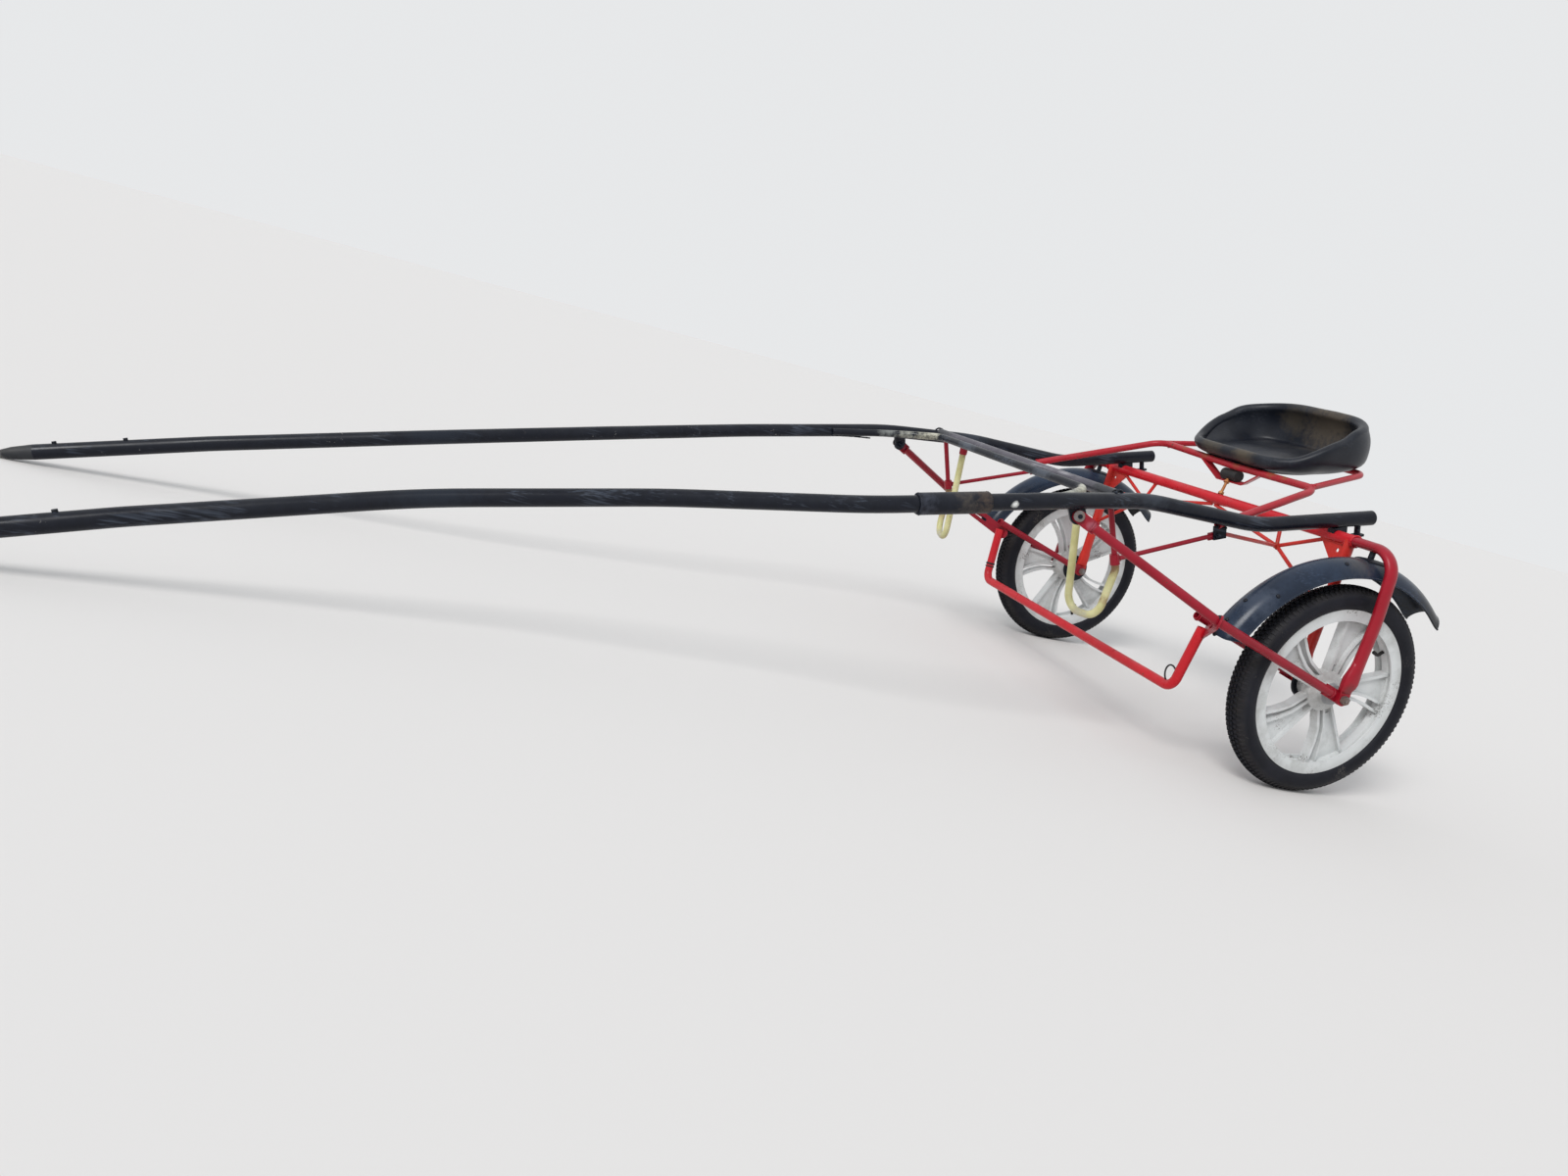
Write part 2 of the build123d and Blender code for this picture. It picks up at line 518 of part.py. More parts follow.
# Wheels: cast rim and five forked spokes, made about the Z axis and stood up
rim_profile = Polygon(
    (rim_r, rim_half), (rim_inner_r, rim_half - 1.0), (rim_inner_r, rim_half - 5.0),
    (rim_inner_r + 11.0, rim_half - 8.0), (rim_inner_r + 10.0, 13.0), (rim_inner_r + 4.0, 8.0),
    (rim_inner_r + 4.0, -8.0), (rim_inner_r + 10.0, -13.0), (rim_inner_r + 11.0, -rim_half + 8.0),
    (rim_inner_r, -rim_half + 5.0), (rim_inner_r, -rim_half + 1.0), (rim_r, -rim_half),
    (rim_r, -rim_half + 4.0), (bead_r, -rim_half + 4.0), (bead_r, -14.0), (rim_inner_r + 9.0, -9.0),
    (rim_inner_r + 9.0, 9.0), (bead_r, 14.0), (bead_r, rim_half - 4.0), (rim_r, rim_half - 4.0),
    align=None)
rim = revolve(Plane.XZ * rim_profile, Axis.Z)
spoke = Box(0.1, 0.1, 0.1)
ribs = [
    [(hub_r - 6.0, -12.0), (rim_inner_r + 8.0, -34.0)],
    [(hub_r - 6.0, 5.0), (95.0, 10.0), (130.0, 20.0), (rim_inner_r + 4.0, 43.0)],
    [(hub_r - 4.0, 20.0), (92.0, 26.0), (124.0, 38.0), (rim_inner_r - 4.0, 66.0)],
]
faces = []
for points in ribs:
    path = Line(*points) if len(points) == 2 else FilletPolyline(*points, radius=60)
    faces.append(trace(path, line_width=rib_wide))
web_face = Polygon((66.0, -16.0), (rim_inner_r + 6.0, -33.0), (rim_inner_r + 4.0, 42.0), (130.0, 19.0),
                   (95.0, 9.0), (66.0, 6.0), align=None)
spoke = extrude(faces[0], rib_half, both=True) + extrude(faces[1], rib_half, both=True)
spoke += extrude(faces[2], rib_half, both=True) + extrude(web_face, web_half, both=True)
spider = spoke
for count in range(1, spokes):
    spider += Rot(0, 0, count * 360 / spokes) * spoke
hub_profile = Polygon((axle_r + bore_gap, -hub_nose_out), (14.0, -hub_nose_out), (15.0, -hub_out),
                      (24.0, -hub_out + 3.0), (27.0, -hub_out + 12.0), (hub_r, -flange_half - 8.0),
                      (flange_r, -flange_half),
                      (flange_r, flange_half), (hub_r, flange_half + 8.0), (hub_r, hub_in),
                      (axle_r + bore_gap, hub_in), align=None)
hub = revolve(Plane.XZ * hub_profile, Axis.Z)
wheel = rim + spider + hub
valve_at = Rot(0, 0, valve_angle) * Pos(rim_inner_r + 3.0, 0, 0) * Rot(0, -90, 0)
wheel -= valve_at * Pos(0, 0, -8.0) * Cylinder(valve_r, 30.0)
cap_profile = Polygon((axle_r + bore_gap, hub_in), (cap_r, hub_in), (cap_r, hub_in + cap_depth - 3.0),
                      (cap_r - 4.0, hub_in + cap_depth), (16.0, hub_in + cap_depth), (14.0, hub_nose_in),
                      (axle_r + bore_gap, hub_nose_in), align=None)
cap = revolve(Plane.XZ * cap_profile, Axis.Z)
tyre_outer = (Polyline((bead_r, 14.5), (bead_r, rim_half - 4.0), (rim_r, rim_half - 4.0),
                       (rim_r + 1.0, rim_half - 1.0))
              + ThreePointArc((rim_r + 1.0, rim_half - 1.0), (230.0, tyre_half), (250.0, 25.0))
              + ThreePointArc((250.0, 25.0), (tyre_radius, 0.0), (250.0, -25.0))
              + ThreePointArc((250.0, -25.0), (230.0, -tyre_half), (rim_r + 1.0, -rim_half + 1.0))
              + Polyline((rim_r + 1.0, -rim_half + 1.0), (rim_r, -rim_half + 4.0), (bead_r, -rim_half + 4.0),
                         (bead_r, -14.5)))
tyre_inner = (ThreePointArc((bead_r, -14.5), (228.0, -tyre_half + tyre_wall - 1.0), (243.0, -20.0))
              + ThreePointArc((243.0, -20.0), (tyre_radius - tyre_wall - 1.0, 0.0), (243.0, 20.0))
              + ThreePointArc((243.0, 20.0), (228.0, tyre_half - tyre_wall + 1.0), (bead_r, 14.5)))
tyre = revolve(Plane.XZ * make_face(tyre_outer + tyre_inner), Axis.Z)
valve = valve_at * Pos(0, 0, 4.0) * Cylinder(valve_r, 26.0)
valve += valve_at * Pos(0, 0, 20.0) * Cylinder(valve_r - 1.0, 8.0)
for side, phase in (("left", left_phase), ("right", right_phase)):
    stand = Location(Plane(origin=(0, half_track, axle_z), x_dir=(1, 0, 0), z_dir=(0, -1, 0)))
    spin = Rot(0, 0, phase)
    if side == "right":
        stand = Rot(0, 0, 180) * stand
        spin = Rot(0, 0, 180 - phase)
    for name, shape in (("wheel", wheel), ("tyre", tyre), ("hub_cap", cap), ("valve", valve)):
        nodes[name + "_" + side] = stand * spin * shape

# Axles, with the spacers and nuts on them
axle_in, axle_out = inner_brace_y - inner_eye / 2, outer_y + eye_thick / 2
axle_part = straight((0, axle_in - 13.0, axle_z), (0, axle_out + 13.0, axle_z), axle_r)
for start, stop, radius in ((inner_y + eye_thick / 2, half_track - hub_nose_in - 0.6, 10.0),
                            (half_track + hub_nose_out + 0.6, brace_y - brace_eye / 2, 10.0)):
    axle_part += straight((0, start, axle_z), (0, stop, axle_z), radius)
for start in (axle_in - 10.0, axle_out):
    axle_part += extrude(across(start) * RegularPolygon(11.0, 6), 10.0)
axle_part = axle_part - brace - inner_brace - outer_leg - inner_leg
nodes["axle_left"] = axle_part
nodes["axle_right"] = other(axle_part)

# Mudguards: a crowned sheet with rolled lips, its front corners rounded and its tail flicked out
guard_r = guard_edge + guard_rise
guard_z = beam_z - beam_r - guard_under_beam - (guard_r ** 2 - (beam_x - guard_ahead) ** 2) ** 0.5
guard_side = Plane(origin=(guard_ahead, half_track, guard_z), x_dir=(1, 0, 0), z_dir=(0, -1, 0))
lip = guard_edge
under = lip - guard_thick
band = make_face(ThreePointArc((lip, -guard_half), (guard_r, 0), (lip, guard_half))
                 + Line((lip, guard_half), (under, guard_half))
                 + ThreePointArc((under, guard_half), (guard_r - guard_thick, 0), (under, -guard_half))
                 + Line((under, -guard_half), (lip, -guard_half)))
for edge in (-guard_half, guard_half):
    band += Pos(lip - 1.5, edge) * Circle(guard_bead)
guard = revolve(Plane.XZ * band, Axis.Z, guard_to - guard_from)
guard = Rot(0, 0, guard_from) * guard
tail_at = Rot(0, 0, guard_to)
tail_plane = Plane(origin=(0, 0, 0), x_dir=(1, 0, 0), z_dir=(0, -1, 0))
tail_part = extrude(tail_plane * band, -guard_tail)
curl_axis = Axis((guard_r + guard_curl_r, guard_tail, 0), (0, 0, -1))
curl_plane = Plane(origin=(0, guard_tail, 0), x_dir=(1, 0, 0), z_dir=(0, -1, 0))
curl = revolve(curl_plane * band, curl_axis, guard_curl)
guard += tail_at * (tail_part + curl)
front_plane = Plane(origin=(guard_edge, 0, 0), x_dir=(0, 1, 0), z_dir=(1, 0, 0))
front_keep = Pos(100.0, 0) * RectangleRounded(200.0, 2 * (guard_half + guard_bead), guard_corner)
front_corners = Pos(guard_corner / 2, 0) * Rectangle(guard_corner + 4.0, 2 * guard_half + 20.0) - front_keep
guard -= Rot(0, 0, guard_from) * extrude(front_plane * front_corners, 60.0, both=True)
guard = Location(guard_side) * guard
guard -= plate(kink, strap_end, strap_wide + 2 * strap_room, strap_thick + 2 * strap_room, strap_face)
nodes["mudguard_left"] = guard
nodes["mudguard_right"] = other(guard)

# Mudguard stays: a saddle on the crown and a post up to the bend of the leg
crown_r = (guard_half ** 2 + guard_rise ** 2) / (2 * guard_rise)
crown_at = Pos(guard_r - crown_r, 0)
saddle_face = crown_at * Circle(crown_r + saddle_thick)
saddle_face &= Pos(guard_r, 0) * Rectangle(30.0, saddle_wide)
saddle_face -= crown_at * Circle(crown_r)
stay_from = Vector(guard_ahead, 0, guard_z)
stay_to = Vector(beam_x, 0, beam_z)
stay_angle = degrees(atan2(stay_to.Z - stay_from.Z, stay_to.X - stay_from.X))
saddle = revolve(Plane.XZ * saddle_face, Axis.Z, saddle_arc)
saddle = Location(guard_side) * (Rot(0, 0, stay_angle - saddle_arc / 2) * saddle)
post_way = (stay_to - stay_from).normalized()
post_low = stay_from + post_way * (guard_r + 1.0) + Vector(0, stay_y, 0)
guard_stay = saddle + straight(post_low, stay_to + Vector(0, stay_y, 0), stay_r) - guard - leg_solid
nodes["guard_stay_left"] = guard_stay
nodes["guard_stay_right"] = other(guard_stay)

# Stand it on its wheels and tips, with the origin under the middle
turn = Pos(0, 0, axle_z) * Rot(0, tilt, 0) * Pos(0, 0, -axle_z)
parked = {name: turn * shape for name, shape in nodes.items()}
ends = [shape.bounding_box() for shape in parked.values()]
middle = (min(box.min.X for box in ends) + max(box.max.X for box in ends)) / 2
os.makedirs("parts", exist_ok=True)
for name, shape in parked.items():
    export_step(Pos(-middle, 0, 0) * shape, "parts/" + name + ".step")
print(len(parked), "pieces, tilt", round(tilt, 3), "degrees, axle at x", round(-middle, 2))
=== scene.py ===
import math

import bmesh
import bpy
import mathutils.noise
from mathutils import Matrix, Vector


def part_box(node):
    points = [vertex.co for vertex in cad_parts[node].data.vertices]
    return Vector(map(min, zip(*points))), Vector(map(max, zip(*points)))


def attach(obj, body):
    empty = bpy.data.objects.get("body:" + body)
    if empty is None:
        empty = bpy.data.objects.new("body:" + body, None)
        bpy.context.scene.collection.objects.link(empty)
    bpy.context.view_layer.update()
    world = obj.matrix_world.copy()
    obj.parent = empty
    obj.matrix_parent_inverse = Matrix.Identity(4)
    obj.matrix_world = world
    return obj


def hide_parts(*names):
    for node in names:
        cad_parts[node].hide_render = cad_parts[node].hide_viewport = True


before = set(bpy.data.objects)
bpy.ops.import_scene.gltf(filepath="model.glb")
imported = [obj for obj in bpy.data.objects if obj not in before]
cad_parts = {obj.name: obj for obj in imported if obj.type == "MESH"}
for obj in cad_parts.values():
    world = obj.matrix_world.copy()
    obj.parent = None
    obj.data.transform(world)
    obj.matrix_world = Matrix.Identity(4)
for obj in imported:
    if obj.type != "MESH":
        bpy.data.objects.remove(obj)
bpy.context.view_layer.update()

# Where the sulky stands and is seen from. It is parked nose down on its shaft tips, and every place in
# this script is given as on the level sulky: metres forward of the axle, to the left, and over the floor.
axle_height = 0.260
beam_behind = -0.125
beam_over_axle = 0.330
beam_low, beam_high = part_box("axle_beam")
wheel_low, wheel_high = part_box("wheel_left")
axle_x = (wheel_low.x + wheel_high.x) / 2
beam_x = (beam_low.x + beam_high.x) / 2 - axle_x
beam_z = (beam_low.z + beam_high.z) / 2 - axle_height
tilt = math.atan2(beam_over_axle, beam_behind) - math.atan2(beam_z, beam_x)
turn = Matrix.Rotation(tilt, 3, "Y")


def way(x, y, z):
    """A direction on the level sulky, as it lies on the parked one."""
    return turn @ Vector((x, y, z))


def at(x, y, z):
    """A point on the level sulky, as it lies on the parked one."""
    return turn @ Vector((x, y, z - axle_height)) + Vector((axle_x, 0, axle_height))


def stand(name, data):
    """A new object in the scene."""
    made = bpy.data.objects.new(name, data)
    bpy.context.scene.collection.objects.link(made)
    return made


camera_place = (1.8175, 2.4513, 1.4149)
camera_right = (-0.9522, 0.2928, -0.0872)
camera_down = (0.1734, 0.2829, -0.9433)
camera_ahead = (-0.2516, -0.9134, -0.3202)
picture_wide, focal = 1600.0, 1092.45

camera_data = bpy.data.cameras.new("camera")
camera_data.sensor_width = 36.0
camera_data.lens = camera_data.sensor_width * focal / picture_wide
camera_data.clip_start = 0.05
camera = stand("camera", camera_data)
axes = [way(*camera_right), -way(*camera_down), -way(*camera_ahead)]
camera.matrix_world = Matrix.Translation(at(*camera_place)) @ Matrix(axes).transposed().to_4x4()
bpy.context.scene.camera = camera
bpy.context.scene.view_settings.view_transform = "Standard"


def node(tree, kind, values=None, **inputs):
    """A new node of that kind; inputs go by name, with _ for a space, or by number as i0, i1."""
    made = tree.nodes.new(kind)
    for name, value in (values or {}).items():
        setattr(made, name, value)
    for name, value in inputs.items():
        socket = made.inputs[int(name[1:])] if name[1:].isdigit() else made.inputs[name.replace("_", " ")]
        if isinstance(value, bpy.types.NodeSocket):
            tree.links.new(value, socket)
        else:
            socket.default_value = value
    return made


def maths(tree, operation, *values):
    """The result of one sum on sockets or numbers."""
    inputs = {f"i{number}": value for number, value in enumerate(values)}
    return node(tree, "ShaderNodeMath", {"operation": operation}, **inputs).outputs[0]


def new_mesh(name, verts, edges, faces):
    """A mesh of points with the edges and faces between them."""
    made = bpy.data.meshes.new(name)
    made.from_pydata([tuple(vert) for vert in verts], edges, faces)
    return made


floor_size = 60.0
floor_colour = (0.755, 0.725, 0.70, 1.0)
horizon_colour = (0.80, 0.81, 0.82, 1.0)
sky_colour = (0.90, 0.95, 1.0, 1.0)
sky_strength = 0.72
sun_strength = 1.9
sun_spread = math.radians(22)

corners = [(-floor_size, -floor_size, 0), (floor_size, -floor_size, 0), (floor_size, floor_size, 0),
           (-floor_size, floor_size, 0)]
floor_mesh = new_mesh("floor", corners, [], [(0, 1, 2, 3)])
floor = stand("floor", floor_mesh)
floor_paint = bpy.data.materials.new("floor_paint")
floor_paint.use_nodes = True
floor_shader = floor_paint.node_tree.nodes["Principled BSDF"]
floor_shader.inputs["Base Color"].default_value = floor_colour
floor_shader.inputs["Roughness"].default_value = 0.9
floor_mesh.materials.append(floor_paint)

world = bpy.data.worlds.new("soft_daylight")
bpy.context.scene.world = world
world.use_nodes = True
sky = world.node_tree
sky.nodes.clear()
ray = node(sky, "ShaderNodeLightPath")
daylight = node(sky, "ShaderNodeBackground", Color=sky_colour, Strength=sky_strength)
backdrop = node(sky, "ShaderNodeBackground", Color=horizon_colour, Strength=1.0)
straight = maths(sky, "MAXIMUM", ray.outputs["Is Camera Ray"], ray.outputs["Is Transmission Ray"])
seen_plain = maths(sky, "MAXIMUM", straight, ray.outputs["Is Glossy Ray"])
seen = node(sky, "ShaderNodeMixShader", i0=seen_plain, i1=daylight.outputs[0], i2=backdrop.outputs[0])
node(sky, "ShaderNodeOutputWorld", Surface=seen.outputs[0])

sun_data = bpy.data.lights.new("sun", "SUN")
sun_data.energy = sun_strength
sun_data.angle = sun_spread
sun = stand("sun", sun_data)
sun.rotation_euler = way(0.35, 0.45, 0.82).to_track_quat("Z", "Y").to_euler()

# Shafts. Two long steel tubes of 36 mm, drawn to a gentle curve and brushed with black gloss paint.
# Years of harness straps have scuffed it grey, and a fleck of white paint sits on the left one.


def group(name, inputs, outputs):
    """An empty shader node group with named inputs and outputs, and its two end nodes."""
    tree = bpy.data.node_groups.new(name, "ShaderNodeTree")
    kinds = {"value": "NodeSocketFloat", "vector": "NodeSocketVector"}
    for socket, kind, start in inputs:
        made = tree.interface.new_socket(socket, in_out="INPUT", socket_type=kinds[kind])
        if start is not None:
            made.default_value = start
    for socket, kind in outputs:
        tree.interface.new_socket(socket, in_out="OUTPUT", socket_type=kinds[kind])
    return tree, tree.nodes.new("NodeGroupInput").outputs, tree.nodes.new("NodeGroupOutput").inputs


def ramp(tree, value, low, high, start=0.0, stop=1.0):
    """value stretched from low..high to start..stop."""
    return node(tree, "ShaderNodeMapRange", Value=value, From_Min=low, From_Max=high, To_Min=start,
                To_Max=stop).outputs[0]


def noise(tree, place, scale, detail=4.0, rough=0.5):
    """Soft clouds from 0 to 1, finer with a larger scale."""
    return node(tree, "ShaderNodeTexNoise", Vector=place, Scale=scale, Detail=detail,
                Roughness=rough).outputs["Fac"]


def chip_group():
    """Where old paint has chipped away in small flakes, most of all in worn patches."""
    tree, given, put = group("paint_chips", [("Place", "vector", None), ("Scale", "value", 90.0),
                                             ("Patches", "value", 6.0), ("Amount", "value", 0.5)],
                             [("Chips", "value"), ("Worn", "value")])
    worn = ramp(tree, noise(tree, given["Place"], given["Patches"], 3.0), 0.45, 0.75)
    flakes = noise(tree, given["Place"], given["Scale"], 6.0, 0.7)
    edge = maths(tree, "MULTIPLY_ADD", maths(tree, "MULTIPLY", worn, given["Amount"]), -0.22, 0.78)
    chips = ramp(tree, maths(tree, "SUBTRACT", flakes, edge), 0.0, 0.02)
    tree.links.new(chips, put["Chips"])
    tree.links.new(worn, put["Worn"])
    return tree


def dust_group():
    """Pale dust that settles on what faces up, in soft uneven clouds."""
    tree, given, put = group("settled_dust", [("Place", "vector", None), ("Scale", "value", 14.0),
                                              ("Amount", "value", 0.4)], [("Dust", "value")])
    cloud = ramp(tree, noise(tree, given["Place"], given["Scale"], 5.0, 0.65), 0.35, 0.75)
    normal = node(tree, "ShaderNodeNewGeometry").outputs["Normal"]
    up = ramp(tree, node(tree, "ShaderNodeSeparateXYZ", Vector=normal).outputs["Z"], -0.2, 1.0)
    dust = maths(tree, "MULTIPLY", maths(tree, "MULTIPLY", cloud, up), given["Amount"])
    tree.links.new(dust, put["Dust"])
    return tree


def scuff_group():
    """Fine scratches that run along one way of the piece, with broken ends."""
    tree, given, put = group("scuffs", [("Place", "vector", None), ("Along", "value", 3.0),
                                        ("Across", "value", 240.0), ("Amount", "value", 0.5)],
                             [("Scuffs", "value")])
    stretch = node(tree, "ShaderNodeCombineXYZ", X=given["Along"], Y=given["Across"], Z=given["Across"])
    run_on = node(tree, "ShaderNodeVectorMath", {"operation": "MULTIPLY"}, i0=given["Place"],
                  i1=stretch.outputs[0]).outputs[0]
    lines = noise(tree, run_on, 1.0, 3.0)
    patches = noise(tree, given["Place"], 11.0, 2.0)
    sharp = ramp(tree, maths(tree, "MULTIPLY", lines, patches), 0.30, 0.42)
    tree.links.new(maths(tree, "MULTIPLY", sharp, given["Amount"]), put["Scuffs"])
    return tree


def stain_group():
    """A spot with a broken edge around one point, or around its twins on both sides of the sulky."""
    tree, given, put = group("stains", [("Place", "vector", None), ("Centre", "vector", None),
                                        ("Radius", "value", 0.02), ("Both Sides", "value", 1.0)],
                             [("Stain", "value")])
    split = node(tree, "ShaderNodeSeparateXYZ", Vector=given["Place"]).outputs
    side = node(tree, "ShaderNodeMix", Factor=given["Both Sides"])
    tree.links.new(split["Y"], side.inputs[2])
    tree.links.new(maths(tree, "ABSOLUTE", split["Y"]), side.inputs[3])
    spot = node(tree, "ShaderNodeCombineXYZ", X=split["X"], Y=side.outputs[0], Z=split["Z"])
    far = node(tree, "ShaderNodeVectorMath", {"operation": "DISTANCE"}, i0=spot.outputs[0],
               i1=given["Centre"]).outputs["Value"]
    ragged = noise(tree, given["Place"], 70.0, 5.0, 0.7)
    reach = maths(tree, "MULTIPLY_ADD", ragged, 1.6, maths(tree, "DIVIDE", far, given["Radius"]))
    tree.links.new(ramp(tree, reach, 1.1, 1.8, 1.0, 0.0), put["Stain"])
    return tree


paint_chips = chip_group()
settled_dust = dust_group()
scuffs = scuff_group()
stains = stain_group()


def effect(tree, which, place, **values):
    """One of the shared effects, placed in a material."""
    made = node(tree, "ShaderNodeGroup", {"node_tree": which})
    tree.links.new(place, made.inputs["Place"])
    for name, value in values.items():
        made.inputs[name.replace("_", " ")].default_value = value
    return made


def layer(tree, share, under, over):
    """The colour over laid on the colour under, where share is 1."""
    made = node(tree, "ShaderNodeMix", {"data_type": "RGBA"})
    tree.links.new(share, made.inputs["Factor"])
    for socket, colour in ((made.inputs[6], under), (made.inputs[7], over)):
        if isinstance(colour, bpy.types.NodeSocket):
            tree.links.new(colour, socket)
        else:
            socket.default_value = (*colour, 1.0)
    return made.outputs[2]


def stained(tree, place, base, spots):
    """Spots of another colour on the base: place, radius, colour, and whether on both sides."""
    for centre, radius, colour, both in spots:
        spot = effect(tree, stains, place, Centre=at(*centre), Radius=radius, Both_Sides=float(both))
        base = layer(tree, spot.outputs["Stain"], base, colour)
    return base


def material(name, preview, **sockets):
    """A material with its shader, its tree and the piece's own coordinates."""
    made = bpy.data.materials.new(name)
    made.use_nodes = True
    made.diffuse_color = (*preview, 1.0)
    tree = made.node_tree
    shader = tree.nodes["Principled BSDF"]
    for socket, value in sockets.items():
        shader.inputs[socket.replace("_", " ")].default_value = value
    place = node(tree, "ShaderNodeTexCoord").outputs["Object"]
    return made, tree, shader, place


def finish_with(tree, shader, colour, rough, height, depth, strength, metal=None):
    """Joins the worked out colour, roughness and relief to the shader."""
    tree.links.new(colour, shader.inputs["Base Color"])
    tree.links.new(rough, shader.inputs["Roughness"])
    if metal is not None:
        tree.links.new(metal, shader.inputs["Metallic"])
    bump = node(tree, "ShaderNodeBump", Height=height, Distance=depth, Strength=strength)
    tree.links.new(bump.outputs[0], shader.inputs["Normal"])


def wear(names, finish):
    """Gives CAD pieces their finish."""
    for name in names:
        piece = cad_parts[name]
        piece.data.materials.clear()
        piece.data.materials.append(finish)


def both_sides(*names):
    """The names of pieces that come in a left and a right."""
    return [name + side for name in names for side in ("_left", "_right")]


def black_paint(name, spots=(), scuffed=0.5, rough=0.26, bump=0.3):
    """Brushed black gloss, tinted blue as a painted reflection of the sky, scratched along and chipped to
    grey.
    """
    made, tree, shader, place = material(name, (0.02, 0.02, 0.02), Specular_IOR_Level=0.20)
    chips = effect(tree, paint_chips, place, Scale=120.0, Patches=7.0, Amount=0.9)
    dust = effect(tree, settled_dust, place, Scale=9.0, Amount=0.14)
    lines = effect(tree, scuffs, place, Along=4.0, Across=260.0, Amount=scuffed)
    brushed = noise(tree, place, 60.0)
    # Both tones are tinted blue as a painted reflection of the sky.
    base = layer(tree, brushed, (0.0035, 0.0045, 0.0080), (0.009, 0.011, 0.019))
    base = layer(tree, lines.outputs["Scuffs"], base, (0.070, 0.085, 0.115))
    base = layer(tree, chips.outputs["Chips"], base, (0.20, 0.19, 0.18))
    base = layer(tree, dust.outputs["Dust"], base, (0.13, 0.135, 0.145))
    base = stained(tree, place, base, spots)
    shine = ramp(tree, chips.outputs["Worn"], 0.0, 1.0, rough, rough + 0.22)
    finish_with(tree, shader, base, shine, brushed, 0.0006, bump)
    return made


white_fleck = ((0.7757, 0.5213, 0.8270), 0.009, (0.75, 0.75, 0.72), False)
grey_rubs = [((1.90, 0.367, 1.002), 0.10, (0.013, 0.017, 0.026), True),
             ((0.40, 0.438, 0.776), 0.06, (0.030, 0.036, 0.048), True)]
shaft_paint = black_paint("shaft_paint", [white_fleck] + grey_rubs)
wear(["shaft_left_rear", "shaft_left_front", "shaft_right"], shaft_paint)
black = black_paint("black_paint")
wear(both_sides("front_lug", "mid_lug", "rear_lug"), black)


def skin(name, verts, faces, finish, smooth=True):
    """A mesh object from points and faces, in its finish."""
    mesh = new_mesh(name, verts, [], faces)
    mesh.materials.append(finish)
    mesh.polygons.foreach_set("use_smooth", [smooth] * len(mesh.polygons))
    return stand(name, mesh)


def bands(rows, count, first=0):
    """The faces between closed rings of points that lie one after the other."""
    faces = []
    for number in range(rows - 1):
        low, high = first + number * count, first + (number + 1) * count
        for index in range(count):
            after = (index + 1) % count
            faces.append((low + index, low + after, high + after, high + index))
    return faces


def outwards(mesh):
    """Turns every face of a closed mesh to the outside."""
    shell = bmesh.new()
    shell.from_mesh(mesh)
    bmesh.ops.recalc_face_normals(shell, faces=shell.faces)
    shell.to_mesh(mesh)
    shell.free()


def new_tree(name, inputs):
    """An empty Geometry Nodes tree with a geometry in and out and named inputs."""
    tree = bpy.data.node_groups.new(name, "GeometryNodeTree")
    kinds = {float: "NodeSocketFloat", int: "NodeSocketInt", "object": "NodeSocketObject",
             "material": "NodeSocketMaterial"}
    tree.interface.new_socket("Geometry", in_out="INPUT", socket_type="NodeSocketGeometry")
    tree.interface.new_socket("Geometry", in_out="OUTPUT", socket_type="NodeSocketGeometry")
    for socket, kind in inputs.items():
        tree.interface.new_socket(socket, in_out="INPUT", socket_type=kinds[kind])
    return tree, tree.nodes.new("NodeGroupInput").outputs, tree.nodes.new("NodeGroupOutput").inputs[0]


def ends(tree, geometry, finish, out):
    """Realize Instances and Set Material, with which every tree ends."""
    real = node(tree, "GeometryNodeRealizeInstances", Geometry=geometry)
    dressed = node(tree, "GeometryNodeSetMaterial", Geometry=real.outputs[0], Material=finish)
    tree.links.new(dressed.outputs[0], out)


def grow(piece, tree, **values):
    """Runs a tree on a piece and keeps the result as its plain mesh."""
    modifier = piece.modifiers.new(tree.name, "NODES")
    modifier.node_group = tree
    sockets = {item.name: item.identifier for item in tree.interface.items_tree if item.in_out == "INPUT"}
    for name, value in values.items():
        modifier[sockets[name.replace("_", " ")]] = value
    bpy.context.view_layer.update()
    ready = piece.evaluated_get(bpy.context.evaluated_depsgraph_get())
    mesh = bpy.data.meshes.new_from_object(ready)
    piece.modifiers.remove(modifier)
    piece.data = mesh


# Welds. Where tube meets tube a hand-laid bead of steel runs round the joint, rippled and painted over.
# They sit at the welded joints that show, and each kind of paint has its own string of them.


def named(tree, kind, name):
    """What the points carry under that name."""
    reader = node(tree, "GeometryNodeInputNamedAttribute", {"data_type": kind}, Name=name)
    return reader.outputs["Attribute"]


